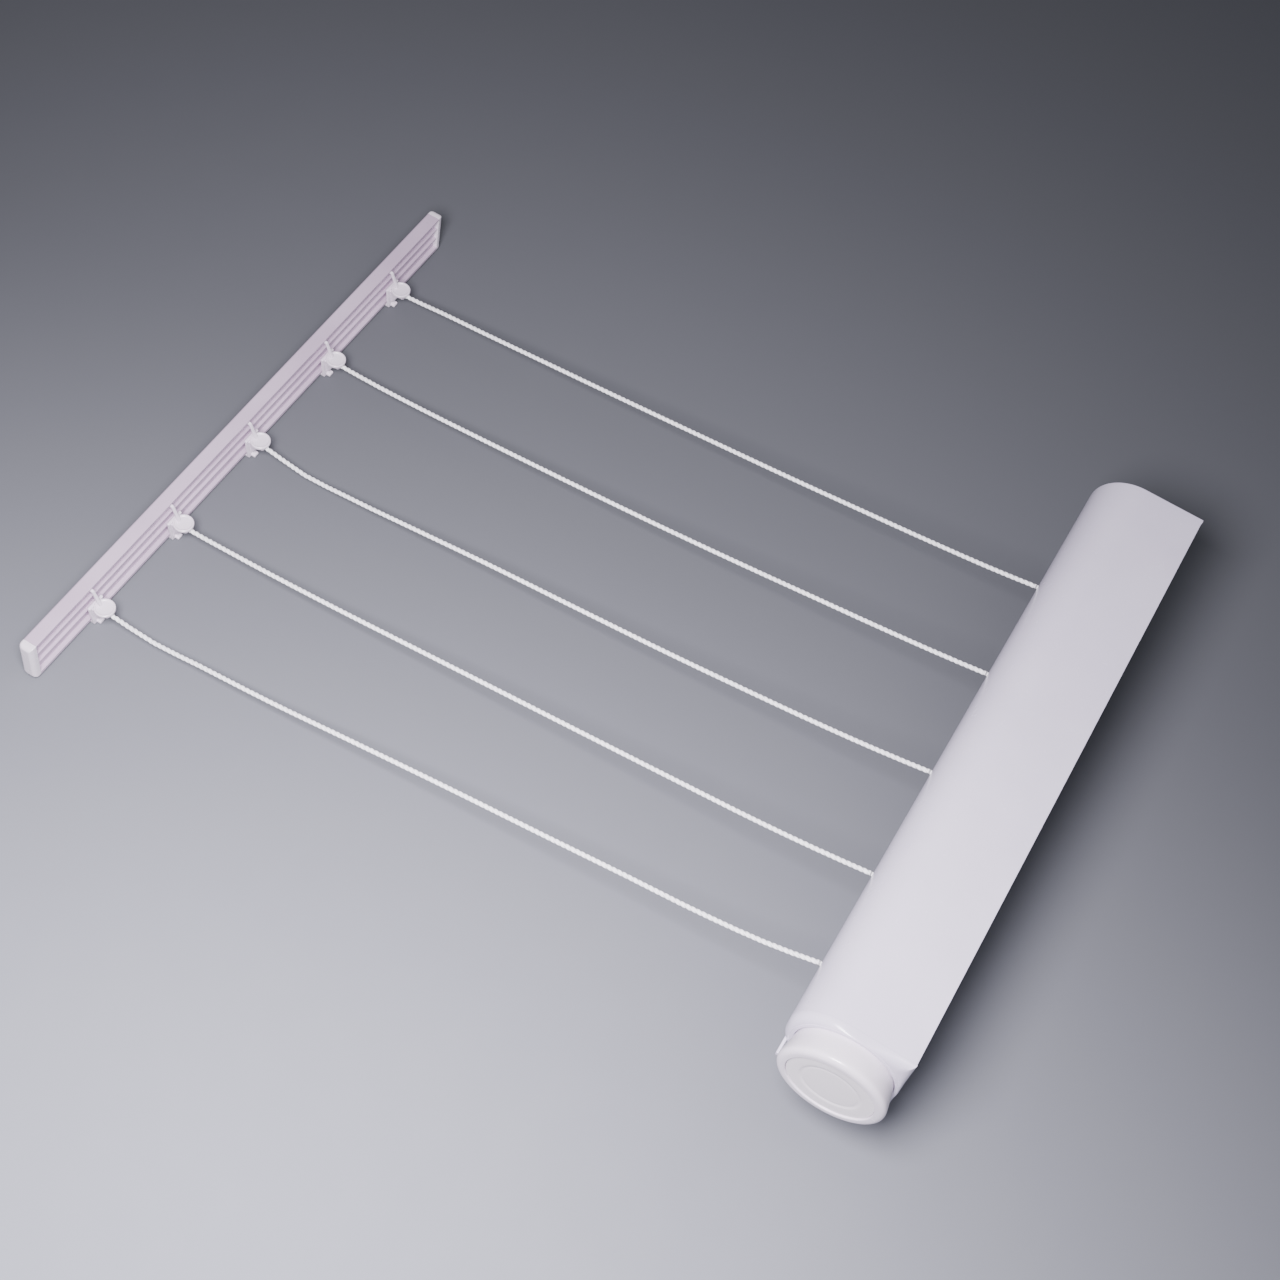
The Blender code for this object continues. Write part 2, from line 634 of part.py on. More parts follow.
def make_reel_fittings(parts):
    """Spring arbor and bush that carry the drum on the axle, and the line wound on it."""
    bore = AXLE_RADIUS + RUN_CLEARANCE
    plug = DRUM_BORE - GAP
    plug_end = DRUM_X0 + PLUG_LENGTH
    arbor = [(plug, plug_end), (plug, DRUM_X0 + GAP), (ARBOR_RADIUS, DRUM_X0 + GAP),
             (ARBOR_RADIUS, ARBOR_X0), (bore, ARBOR_X0), (bore, plug_end)]
    turned("spring_arbor", arbor, parts, (REEL_GREY, 0.45))
    bush = ring(bore, plug, LOCK_PLATE_X1 - PLUG_LENGTH, LOCK_PLATE_X1 - GAP)
    turned("reel_bush", bush, parts, (REEL_GREY, 0.45))
    inner = DRUM_RADIUS + GAP
    half = WINDING_WIDTH / 2
    for index, x in enumerate(BOBBIN_X):
        winding = [(WINDING_RADIUS - 0.0006, x + half), (WINDING_RADIUS, x + half - 0.0008),
                   (WINDING_RADIUS, x - half + 0.0008), (WINDING_RADIUS - 0.0006, x - half),
                   (inner, x - half), (inner, x + half)]
        turned(f"line_winding_{index + 1}", winding, parts, (LINE_WHITE, 0.85), steps=24)


# ---- lock ------------------------------------------------------------------------------
def cam_ramp_mesh():
    """Helical ramp behind the knob's web that pushes the bolt as the knob turns."""
    inner = KNOB_CAM_INNER + 0.0010
    outer = KNOB_INNER - 0.0020
    root_x = KNOB_WEB_X0 + 0.0004
    rows = []
    for step in range(CAM_STEPS + 1):
        turn = (LOCK_TURN + CAM_DWELL) * step / CAM_STEPS
        top_x = KNOB_WEB_X0 - BOLT_TRAVEL * min(1, turn / LOCK_TURN) - 0.00001
        corners = ((inner, root_x), (outer, root_x), (outer, top_x), (inner, top_x))
        rows.append([(x, *on_axis(BOLT_ANGLE - turn, radius)) for radius, x in corners])
    return loft_mesh("cam_ramp", rows)


def make_knob(parts, cutters):
    """Round knob on the axle with its locking ramp, and the disc set in its face."""
    bore = AXLE_RADIUS + RUN_CLEARANCE
    ledge = KNOB_X1 - KNOB_LEDGE
    web = KNOB_WEB_X1 - KNOB_WEB
    well = KNOB_FACE_RADIUS - 0.0015
    profile = [(KNOB_RADIUS - 0.0026, KNOB_X1), (KNOB_RADIUS - 0.0012, KNOB_X1 - 0.0004),
               (KNOB_RADIUS - 0.0003, KNOB_X1 - 0.0013), (KNOB_RADIUS, KNOB_X1 - 0.0026),
               (KNOB_NECK + 0.0002, KNOB_NECK_X), (KNOB_NECK, KNOB_X0), (KNOB_INNER, KNOB_X0),
               (KNOB_INNER, KNOB_WEB_X0), (KNOB_CAM_INNER, KNOB_WEB_X0), (KNOB_CAM_INNER, web),
               (KNOB_HUB, web), (KNOB_HUB, KNOB_HUB_X0), (bore, KNOB_HUB_X0),
               (bore, KNOB_HUB_X1), (KNOB_HUB, KNOB_HUB_X1), (KNOB_HUB, KNOB_WEB_X1),
               (well, KNOB_WEB_X1), (well, ledge), (KNOB_FACE_RADIUS, ledge),
               (KNOB_FACE_RADIUS, KNOB_X1)]
    knob = turned("lock_knob", profile, parts, (SHELL_WHITE, 0.35), steps=40)
    knob = applied(knob, parts, (SHELL_WHITE, 0.35))
    set_origin(knob)
    join(knob, cam_ramp_mesh(), cutters)
    front = KNOB_X1 - KNOB_FACE_SUNK
    back = front - KNOB_FACE_THICKNESS
    rim = KNOB_FACE_RADIUS - GAP
    disc = [(0, front - 0.0003), (0.0135, front - 0.0003), (0.0140, front - 0.0007),
            (0.0148, front - 0.0007), (0.0153, front), (rim - 0.0006, front),
            (rim, front - 0.0006), (rim, back), (0, back)]
    turned("knob_face", disc, parts, (SHELL_WHITE, 0.35), closed=False, steps=36)


def make_bolt(parts):
    """Pin that slides towards the far end into a hole of the reel's last flange."""
    y, z = on_axis(BOLT_ANGLE, LOCK_CIRCLE)
    neck_x = BOLT_NOSE_X - 0.0014
    seat_x = neck_x - 0.0016
    tip_x = LOCK_PLATE_X1 + 0.0012
    neck = 0.0015
    profile = [(0, BOLT_NOSE_X), (neck - 0.0007, BOLT_NOSE_X), (neck, BOLT_NOSE_X - 0.0008),
               (neck, neck_x), (BOLT_COLLAR, neck_x), (BOLT_COLLAR, seat_x), (BOLT_RADIUS, seat_x),
               (BOLT_RADIUS, tip_x + 0.0008), (BOLT_RADIUS - 0.0008, tip_x), (0, tip_x)]
    turned("lock_bolt", profile, parts, (STEEL, 0.30, 1.0), closed=False, steps=20, place=(0, y, z))
    points = BOLT_SPRING_TURNS * 10
    x0 = BULKHEAD_X + BULKHEAD_THICKNESS + 2 * GAP
    x1 = seat_x - 2 * GAP
    route = []
    for step in range(points + 1):
        angle = TAU * BOLT_SPRING_TURNS * step / points
        route.append((x0 + (x1 - x0) * step / points, y + BOLT_SPRING_RADIUS * math.cos(angle),
                      z + BOLT_SPRING_RADIUS * math.sin(angle)))
    tube("bolt_spring", route, BOLT_SPRING_WIRE, parts, (STEEL, 0.30, 1.0))


# ---- lines -----------------------------------------------------------------------------
def smooth_route(corners, count):
    """Even points on a smooth curve through the corners, whatever their spacing."""
    spans = [(after - before).length for before, after in zip(corners, corners[1:])]
    slopes = [(after - before) / span for before, after, span in zip(corners, corners[1:], spans)]
    headings = [slopes[0]]
    for place in range(1, len(slopes)):
        near, far = spans[place - 1], spans[place]
        headings.append((slopes[place - 1] * far + slopes[place] * near) / (near + far))
    headings.append(slopes[-1])
    fine = []
    for place, span in enumerate(spans):
        for step in range(16):
            t = step / 16
            fine.append(corners[place] * (2 * t ** 3 - 3 * t ** 2 + 1)
                        + headings[place] * span * (t ** 3 - 2 * t ** 2 + t)
                        + corners[place + 1] * (3 * t ** 2 - 2 * t ** 3)
                        + headings[place + 1] * span * (t ** 3 - t ** 2))
    fine.append(corners[-1])
    run = [0]
    for before, after in zip(fine, fine[1:]):
        run.append(run[-1] + (after - before).length)
    route = []
    place = 0
    for step in range(count):
        target = run[-1] * step / (count - 1)
        while place < len(run) - 2 and run[place + 1] < target:
            place += 1
        share = (target - run[place]) / (run[place + 1] - run[place])
        route.append(fine[place].lerp(fine[place + 1], min(share, 1)))
    return route


def make_line_leads(parts):
    """Stretch of each line from its winding to its eyelet, inside the housing."""
    radius = WINDING_RADIUS + GAP + LINE_DIAMETER / 2
    lift = math.acos(radius / (AXIS_Y - LEAD_AIM_Y)) + math.atan2(EXIT_Z / 2, AXIS_Y - LEAD_AIM_Y)
    start = Vector((0, AXIS_Y - radius * math.cos(lift), radius * math.sin(lift)))
    heading = Vector((0, -math.sin(lift), -math.cos(lift)))
    corners = [start, start + heading * 0.0050, start + heading * 0.0100,
               Vector((0, -DEPTH + 0.0022, EXIT_Z + 0.0009)),
               Vector((0, -DEPTH + 0.0008, EXIT_Z + 0.0001)), Vector((0, LINE_SPLIT_Y, EXIT_Z))]
    for index, x in enumerate(EXIT_X):
        route = [point + Vector((x, 0, 0)) for point in smooth_route(corners, LEAD_POINTS)]
        tube(f"line_lead_{index + 1}", route, LINE_DIAMETER, parts, (LINE_WHITE, 0.85))


def line_route(index):
    """Free stretch of one line, hanging between its eyelet and its hook's socket."""
    mouth_y = BAR_FACE_Y + HOOK_BOSS_END
    start = Vector((EXIT_X[index], LINE_SPLIT_Y - GAP, EXIT_Z))
    end = Vector((HOOK_X[index], mouth_y - LINE_GRIP, BAR_Z + HOOK_BOSS_Z))
    corners = [start]
    for share, drop in zip(DROP_AT, LINE_DROPS[index]):
        corners.append(start.lerp(end, share) - Vector((0, 0, drop)))
    corners += [Vector((end.x, mouth_y + 0.001, end.z)), end]
    return smooth_route(corners, LINE_POINTS)


def make_lines(parts):
    for index in range(LINES):
        tube(f"line_{index + 1}", line_route(index), LINE_DIAMETER, parts, (LINE_WHITE, 0.85))


# ---- line bar --------------------------------------------------------------------------
def bar_outline():
    """(y, z) outline of the bar: a shallow channel with two ribs, open towards the wall."""
    half = BAR_HALF_HEIGHT
    top = half - BAR_UPPER_FLANGE
    bottom = BAR_LOWER_FLANGE - half
    web = BAR_FACE_Y - BAR_RECESS
    edge_y = BAR_Y + BAR_EDGE
    points = [(BAR_FACE_Y, half)]
    for centre_z, first in ((half - BAR_EDGE, 90), (BAR_EDGE - half, 180)):
        for step in range(4):
            angle = math.radians(first + 30 * step)
            points.append((edge_y + BAR_EDGE * math.cos(angle), centre_z + BAR_EDGE * math.sin(angle)))
    points += [(BAR_FACE_Y, -half), (BAR_FACE_Y, bottom), (web, bottom)]
    for rib in reversed(BAR_RIBS_Z):
        low = rib - BAR_RIB / 2
        high = rib + BAR_RIB / 2
        crest = web + BAR_RIB_HEIGHT
        points += [(web, low), (crest, low), (crest, high), (web, high)]
    points += [(web, top), (BAR_FACE_Y, top)]
    return [(y, BAR_Z + z) for y, z in points]


def chamber(x0, x1, clearance):
    """Box of the hollow that runs the length of the bar."""
    half = CHAMBER_HALF_HEIGHT - clearance
    low = (x0, BAR_Y + BAR_WEB + clearance, BAR_Z - half)
    high = (x1, BAR_FACE_Y - BAR_RECESS - BAR_WEB - clearance, BAR_Z + half)
    return box_mesh("chamber", low, high)


def cap_ring(x, inset):
    """Ring of the bar's outer shape, drawn in by an inset, with rounded corners."""
    radius = max(BAR_EDGE, inset)
    low = Vector((BAR_Y + inset + radius, BAR_Z - BAR_HALF_HEIGHT + inset + radius))
    high = Vector((BAR_FACE_Y - inset - radius, BAR_Z + BAR_HALF_HEIGHT - inset - radius))
    low.x = min(low.x, (BAR_Y + BAR_FACE_Y) / 2)
    high.x = max(high.x, low.x)
    points = []
    corners = ((high.x, high.y), (low.x, high.y), (low.x, low.y), (high.x, low.y))
    for corner, (y, z) in enumerate(corners):
        for step in range(4):
            angle = math.radians(90 * corner + 30 * step)
            points.append((x, y + radius * math.cos(angle), z + radius * math.sin(angle)))
    return points


def make_bar(parts, cutters):
    """Extruded bar, and a plugged-in cap with a rounded end at each end."""
    x0 = BAR_X0 + BAR_CAP + GAP
    x1 = BAR_X1 - BAR_CAP - GAP
    bar = add_object("line_bar", outline_mesh("line_bar", bar_outline(), x0, x1), parts,
                     (BAR_WHITE, 0.40))
    cut(bar, chamber(x0 - 0.01, x1 + 0.01, 0), cutters)
    for name, outer, inner, sign in (("far", BAR_X0, x0 - GAP, 1), ("near", BAR_X1, x1 + GAP, -1)):
        rings = [cap_ring(inner, 0)]
        for turn in BAR_CAP_TURNS:
            angle = math.radians(turn)
            inset = BAR_CAP_INSET * (1 - math.cos(angle))
            rings.append(cap_ring(outer + sign * BAR_CAP_ROUNDING * (1 - math.sin(angle)), inset))
        cap = add_object("bar_cap_" + name, loft_mesh("bar_cap_" + name, rings), parts,
                         (BAR_WHITE, 0.40))
        plug_x = sorted((inner - sign * 0.0015, inner + sign * BAR_PLUG))
        join(cap, chamber(plug_x[0], plug_x[1], GAP), cutters)


def hook_box(x, half, y0, y1, z0, z1):
    """Box centred on a hook, y from the bar's face and z from the bar's middle."""
    return box_mesh("hook_box", (x - half, BAR_FACE_Y + y0, BAR_Z + z0),
                    (x + half, BAR_FACE_Y + y1, BAR_Z + z1))


def hook_taper(x, ends):
    """Block between two level rectangles, each given as half width, y, y and z."""
    rings = []
    for half, y0, y1, z in ends:
        corners = ((-half, y0), (half, y0), (half, y1), (-half, y1))
        rings.append([(x + side, BAR_FACE_Y + y, BAR_Z + z) for side, y in corners])
    return loft_mesh("hook_taper", rings)


def make_hooks(parts, cutters):
    """Clip-on hooks: a plate on the bar's face with a foot under it, a round shelf on a
    gusset, a slanting strut whose toe catches under the bar's upper flange, and a socket
    that holds the line's end."""
    disc_y = BAR_FACE_Y + HOOK_DISC_Y
    socket_y = BAR_FACE_Y + HOOK_BOSS_END
    boss_z = BAR_Z + HOOK_BOSS_Z
    foot_top = HOOK_BOTTOM + HOOK_FOOT
    strut = [(BAR_FACE_Y + y, BAR_Z + z) for y, z in HOOK_STRUT]
    for index, x in enumerate(HOOK_X):
        name = f"line_hook_{index + 1}"
        hook = add_object(name, hook_taper(x, (HOOK_PLATE_TOP, HOOK_PLATE_BOTTOM)), parts,
                          (BAR_WHITE, 0.40))
        join(hook, hook_box(x, HOOK_FOOT_HALF, -HOOK_FOOT_REACH, HOOK_ROOT, HOOK_BOTTOM, foot_top),
             cutters)
        join(hook, hook_box(x, HOOK_TONGUE_HALF, HOOK_ROOT, HOOK_TONGUE_END, HOOK_BOTTOM + GAP,
                            foot_top + GAP), cutters)
        join(hook, hook_taper(x, (HOOK_GUSSET_TOP, HOOK_GUSSET_BOTTOM)), cutters)
        join(hook, cylinder_mesh("shelf", (x, disc_y, BAR_Z + HOOK_DISC_BOTTOM),
                                 (x, disc_y, BAR_Z + HOOK_DISC_TOP), HOOK_DISC_RADIUS, 28), cutters)
        join(hook, bore_y(x, boss_z, BAR_FACE_Y + HOOK_ROOT, socket_y, HOOK_BOSS_RADIUS, 20), cutters)
        join(hook, outline_mesh("strut", strut, x - HOOK_STRUT_HALF, x + HOOK_STRUT_HALF), cutters)
        cut(hook, bore_y(x, boss_z, socket_y - HOOK_SOCKET, socket_y + 0.01, HOOK_SOCKET_RADIUS),
            cutters)


def main():
    clear_scene()
    parts = collection(NAME)
    cutters = collection(NAME + "_cutters")
    make_back_plate(parts, cutters)
    make_plate_screws(parts)
    make_front_cover(parts, cutters)
    make_end_cap_far(parts, cutters)
    make_end_collar(parts, cutters)
    make_eyelets(parts)
    make_axle(parts)
    make_spring_cup(parts)
    make_mainspring(parts)
    make_reel(parts, cutters)
    make_reel_fittings(parts)
    make_knob(parts, cutters)
    make_bolt(parts)
    make_line_leads(parts)
    make_lines(parts)
    make_bar(parts, cutters)
    make_hooks(parts, cutters)


main()
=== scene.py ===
"""Fine meshes, materials, light and camera for the retractable five-line clothes line.

World frame, metres: the wall is the plane Y = 0 and the room lies towards -Y, Z is up,
and X runs along the housing with the lock knob at its +X end. Rest is with the lines out.
"""
import math

import bmesh
import bpy
from mathutils import Matrix, Quaternion, Vector


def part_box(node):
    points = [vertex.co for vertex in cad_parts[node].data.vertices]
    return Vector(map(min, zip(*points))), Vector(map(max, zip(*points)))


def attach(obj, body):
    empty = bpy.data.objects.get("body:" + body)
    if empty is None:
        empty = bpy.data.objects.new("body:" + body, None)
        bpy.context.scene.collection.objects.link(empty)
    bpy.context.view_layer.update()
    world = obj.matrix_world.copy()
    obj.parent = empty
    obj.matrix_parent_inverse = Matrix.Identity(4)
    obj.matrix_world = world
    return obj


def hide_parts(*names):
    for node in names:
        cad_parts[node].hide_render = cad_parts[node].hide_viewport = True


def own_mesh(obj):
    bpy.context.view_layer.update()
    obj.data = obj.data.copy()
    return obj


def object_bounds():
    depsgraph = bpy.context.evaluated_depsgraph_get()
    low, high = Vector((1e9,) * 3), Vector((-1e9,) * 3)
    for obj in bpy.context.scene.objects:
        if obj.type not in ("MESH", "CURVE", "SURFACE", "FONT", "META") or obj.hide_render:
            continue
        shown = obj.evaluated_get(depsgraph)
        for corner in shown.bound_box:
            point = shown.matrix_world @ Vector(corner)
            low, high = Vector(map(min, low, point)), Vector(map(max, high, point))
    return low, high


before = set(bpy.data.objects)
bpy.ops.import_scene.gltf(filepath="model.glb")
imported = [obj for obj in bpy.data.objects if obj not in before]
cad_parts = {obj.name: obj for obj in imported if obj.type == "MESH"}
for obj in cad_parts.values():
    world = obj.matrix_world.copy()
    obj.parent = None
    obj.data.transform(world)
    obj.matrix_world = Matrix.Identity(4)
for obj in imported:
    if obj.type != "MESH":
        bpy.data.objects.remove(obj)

TAU = 2 * math.pi
CAD_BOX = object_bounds()

# Camera
CAMERA_PLACE = (0.56317, -0.05654, 0.82857)
CAMERA_TARGET = (0.03859, -0.21578, -0.00776)
CAMERA_ROLL = math.radians(15.63)
CAMERA_LENS = 55.93
CAMERA_SENSOR = 36.0

# Housing section and reel axis, as in the part
FRONT_RADIUS = 0.0240
WALL = 0.0022
GAP = 0.0003
SPIGOT_INSET = WALL + GAP
ARC_STEPS = 30
RING_STEPS = 128
AXIS_Y = -0.0274
POCKET_RADIUS = 0.0238
AXLE_BORE = 0.00315
PLATE_THICKNESS = 0.0025
SPIGOT_BACK = -PLATE_THICKNESS - GAP
SEAM = 0.00005            # what shows of the joint between cover and end pieces
CAP_THICKNESS = 0.0030
CAP_SPIGOT = 0.0080
CAP_EDGE = 0.0009
CAP_EDGE_STEPS = 5
CAP_FACE_RADIUS = 0.0100  # of the flat disc in the middle of the far end's face
BOSS_RADIUS = 0.0080
BOSS_LENGTH = 0.0060
SHOULDER_LENGTH = 0.0048
SHOULDER_RADIUS = 0.0270
SHOULDER_STEPS = 12
RIM_EDGE = 0.0003
OPENING_RADIUS = 0.0250
OPENING_X = 0.1790
NEAR_X = 0.1787
BULKHEAD_X = 0.1600
BULKHEAD_THICKNESS = 0.0030
BOLT_HOLE = (0.0190, 0.00245)           # height over the reel axis, and radius
BOLT_HOLE_CUT = (-0.01, 0.004)          # start and end of its cutter, from the bulkhead's back
TAB_LOW = (NEAR_X + 0.0001, -0.0555, -0.0152)
TAB_HIGH = (NEAR_X + 0.0115, -0.0540, -0.0122)
TAB_EDGE = 0.0005

# Back plate
PLATE_EDGE = 0.0004
# Cuts that overlap start and end at slightly different depths, so that no two faces coincide.
THROUGH = (0.001, -0.004)               # start and end of the cuts through the plate
SLOT_THROUGH = (0.0011, -0.0041)
RECESS_START = 0.0012
SCREW_X = (-0.1725, 0.1662)
SCREW_Z = 0.0190
SCREW_HOLE = 0.0018
SCREW_HOLE_END = -0.0105
SCREW_RECESS = 0.0034
SCREW_RECESS_DEPTH = 0.0016
SCREW_LENGTH = 0.0096
SCREW_RADIUS = 0.0015
SCREW_HEAD = 0.0030
SCREW_CROSS = (0.0004, 0.0017)          # half sizes of the recess's slots
SCREW_CROSS_DEPTH = 0.0010
KEYHOLE_X = (-0.0775, 0.1175)
KEYHOLE_Z = -0.0030
KEYHOLE_RADIUS = 0.0046
KEYHOLE_SLOT_HALF = 0.0022
KEYHOLE_SLOT_TOP = 0.0060

# Knob
KNOB_X0 = 0.1794
KNOB_X1 = 0.1978
KNOB_RADIUS = 0.0270      # at its front
KNOB_NECK = 0.0246        # in the collar's opening
KNOB_INNER = 0.0234       # in the pocket
KNOB_CAM_INNER = 0.0155
KNOB_HUB = 0.0060
KNOB_HUB_X = (0.1720, 0.1840)
KNOB_WEB_X = (0.1738, 0.1800, 0.1824)   # back of the cam's root, back and front of the web
KNOB_WELL = 0.0205
KNOB_LEDGE = 0.0040
KNOB_FACE_RADIUS = 0.0220
KNOB_FACE_SUNK = 0.0008
KNOB_FACE_THICKNESS = 0.0028

# Lines
EXIT_X = (-0.1101, -0.0447, 0.0241, 0.0905, 0.1450)
EXIT_Z = -0.0030
EYELET_HOLE = 0.0053
EYELET_SEAT = 0.0067
EYELET_SEAT_DEPTH = 0.0013
EYELET_CUT = (0.008, 0.004)             # how far the hole's cutter runs behind and before the cover
HOOK_X = (-0.1126, -0.0474, 0.0239, 0.0917, 0.1567)
LINE_DIAMETER = 0.0025
LINE_POINTS = 29
ROUTE_STEPS = 16          # points worked out between two corners of a route
LINE_SPLIT = 0.0006       # how far in front of the cover the line is parted from its lead
LINE_GRIP = 0.0022        # how far the line's end lies inside the hook's socket
LINE_STRAIGHT = 0.0010    # how far before the socket it already points into it
DROP_AT = (0.05, 0.15, 0.25, 0.35, 0.50, 0.65, 0.75, 0.85, 0.95)
LINE_DROPS = (
    (0.0015, 0.0028, 0.0033, 0.0036, 0.0032, 0.0025, 0.0018, 0.0011, 0.0002),
    (0.0016, 0.0036, 0.0048, 0.0060, 0.0068, 0.0062, 0.0055, 0.0045, 0.0022),
    (0.0024, 0.0054, 0.0069, 0.0079, 0.0079, 0.0076, 0.0084, 0.0090, 0.0066),
    (0.0021, 0.0044, 0.0047, 0.0047, 0.0045, 0.0045, 0.0045, 0.0037, 0.0016),
    (0.0048, 0.0083, 0.0078, 0.0079, 0.0077, 0.0086, 0.0095, 0.0082, 0.0062))
LEAD_POINTS = 10
LEAD_AIM = 0.0034         # depth behind the cover's face of the point a lead first heads for
LEAD_STRAIGHT = (0.0050, 0.0100)        # distances from the winding along its first direction
LEAD_MOUTH = ((0.0022, 0.0009), (0.0008, 0.0001))   # depth behind the face, height in the eyelet
WINDING_RADIUS = 0.0221
ROPE_LAY = 0.0085         # length of one turn of the rope's strands
ROPE_RING = 0.0006        # spacing of the rings along the rope
ROPE_SIDES = 21
STRAND = 0.464            # strand radius as a share of the rope's
VALLEY = 0.66             # least reach between two strands, as a share of the rope's radius

# Line bar, and hooks with y from the bar's face and z from the bar's middle
BAR_HALF_HEIGHT = 0.0130
BAR_UPPER_FLANGE = 0.0014
BAR_LOWER_FLANGE = 0.0022
BAR_RECESS = 0.0025
BAR_RIB = 0.0011
BAR_RIB_HEIGHT = 0.0018
BAR_RIBS_Z = (0.0040, -0.0036)
BAR_EDGE = 0.0013
BAR_WEB = 0.0014
BAR_SMALL_EDGE = 0.00025
BAR_OVERRUN = 0.00025     # how far the bar's ends run into the joints with its caps
CHAMBER_HALF_HEIGHT = BAR_HALF_HEIGHT - 0.0020
CAP_PLUG = 0.0080
CAP_ROUNDING = 0.0030
CAP_INSET = 0.0022
CAP_CHAMFER = 0.0001
CAP_BACK_EDGES = (0.0004, 0.0005)       # corner radius by the wall side, at the seat and beyond it
CAP_EDGE_GROWTH = 0.3     # how fast the corner radii grow with the rounding's inset
CAP_STEPS = 8
HOOK_FOOT = 0.0018
HOOK_FOOT_HALF = 0.0034
HOOK_FOOT_Y = (-0.0030, 0.0010)
HOOK_TONGUE_HALF = 0.0018
HOOK_TONGUE_Y = (0.0010, 0.0046)
HOOK_PLATE_TOP = (0.0055, GAP, 0.0021, 0.0010)              # half width, y, y, z
HOOK_PLATE_BOTTOM = (0.0034, GAP, 0.0021)
HOOK_GUSSET_TOP = (0.0040, 0.0010, 0.0086, -0.0001)
HOOK_GUSSET_BOTTOM = (0.0017, 0.0010, 0.0034, -0.0110)
HOOK_DISC_RADIUS = 0.0056
HOOK_DISC_Y = 0.0071
HOOK_BOSS_Z = -0.0022
HOOK_BOSS_END = 0.0100
HOOK_BOSS_RADIUS = 0.0028
HOOK_SOCKET = 0.0025
HOOK_SOCKET_RADIUS = 0.00175
HOOK_STRUT_HALF = 0.0008
HOOK_STRUT = (            # (y, z) from the toe under the bar's upper flange down to the disc
    (-0.0016, 0.0098), (-0.0016, 0.0112), (0.0006, 0.0112), (0.0013, 0.0106),
    (0.0052, 0.0010), (0.0052, -0.0002), (0.0039, -0.0002), (0.0039, 0.0008), (0.0003, 0.0098))

# Plastic and rope finish
PLASTIC_SPECULAR = 0.7
PLASTIC_SINKS = 0.0001    # depth of the sink marks
PLASTIC_GRAIN = 0.000012  # depth of the grain
ROPE_SHEEN = 0.25
ROPE_SHEEN_ROUGHNESS = 0.5

# Floor and light
FLOOR_DROP = 0.0006       # how far the floor lies below the object
FLOOR_SIZE = 40
FLOOR_PLACE = (0, -0.2)
# Painted light: the floor's colour runs from a shaded end to a lit end, a painted falloff of the
# light across the floor.
FLOOR_SHADED_END = (0.100, 0.103, 0.117)
FLOOR_LIT_END = (0.34, 0.35, 0.40)
FLOOR_TURN = (0, 0, math.radians(-12))
FLOOR_SHIFT = (0.17, 0, 0)
FLOOR_STRETCH = (1.15, 1, 1)
KEY_LIGHT = {"place": (0.47, -0.20, 0.64), "target": (0.24, -0.24, 0), "size": 0.32, "power": 8.6,
             "colour": (0.97, 0.94, 1.0), "spread": 106}
FILL_LIGHT = {"place": (-0.5, 0.5, 1.3), "target": (0, -0.2, 0), "size": 1.2, "power": 3.5,
              "colour": (0.92, 0.92, 1.0), "spread": 180}
WORLD_COLOUR = (0.86, 0.88, 0.95, 1)
WORLD_STRENGTH = 0.22


# ---- camera ----------------------------------------------------------------------------
def make_camera():
    data = bpy.data.cameras.new("camera")
    data.sensor_width = CAMERA_SENSOR
    data.lens = CAMERA_LENS
    data.clip_start = 0.01
    data.clip_end = 50
    camera = bpy.data.objects.new("camera", data)
    bpy.context.scene.collection.objects.link(camera)
    place = Vector(CAMERA_PLACE)
    turn = (Vector(CAMERA_TARGET) - place).to_track_quat("-Z", "Y")
    camera.rotation_mode = "QUATERNION"
    camera.location = place
    camera.rotation_quaternion = turn @ Quaternion((0, 0, 1), CAMERA_ROLL)
    bpy.context.scene.camera = camera


# ---- materials -------------------------------------------------------------------------
class Nodes:
    """Small helper that adds and links shader nodes."""

    def __init__(self, name):
        self.material = bpy.data.materials.new(name)
        self.material.use_nodes = True
        self.tree = self.material.node_tree
        self.shader = self.tree.nodes["Principled BSDF"]

    def add(self, kind, **values):
        node = self.tree.nodes.new(kind)
        for key, value in values.items():
            if key in node.inputs:
                node.inputs[key].default_value = value
            else:
                setattr(node, key, value)
        return node

    def link(self, start, end):
        self.tree.links.new(start, end)

    def coordinates(self, stretch):
        place = self.add("ShaderNodeTexCoord")
        mapping = self.add("ShaderNodeMapping", Scale=stretch)
        self.link(place.outputs["Object"], mapping.inputs["Vector"])
        return mapping.outputs["Vector"]

    def noise(self, vector, scale, detail=3.0):
        node = self.add("ShaderNodeTexNoise", Scale=scale, Detail=detail)
        self.link(vector, node.inputs["Vector"])
        return node.outputs["Fac"]

    def ramp(self, factor, stops):
        node = self.add("ShaderNodeValToRGB")
        first, last = node.color_ramp.elements
        first.position, first.color = stops[0][0], (*stops[0][1], 1)
        last.position, last.color = stops[1][0], (*stops[1][1], 1)
        self.link(factor, node.inputs["Fac"])
        self.link(node.outputs["Color"], self.shader.inputs["Base Color"])

    def roughness(self, factor, low, high):
        node = self.add("ShaderNodeMapRange")
        node.inputs["From Min"].default_value = 0.3
        node.inputs["From Max"].default_value = 0.7
        node.inputs["To Min"].default_value = low
        node.inputs["To Max"].default_value = high
        self.link(factor, node.inputs["Value"])
        self.link(node.outputs["Result"], self.shader.inputs["Roughness"])

    def bump(self, layers):
        """Chain of bumps, each (height, depth in metres)."""
        normal = None
        for height, depth in layers:
            node = self.add("ShaderNodeBump", Strength=1.0, Distance=depth)
            self.link(height, node.inputs["Height"])
            if normal is not None:
                self.link(normal, node.inputs["Normal"])
            normal = node.outputs["Normal"]
        self.link(normal, self.shader.inputs["Normal"])


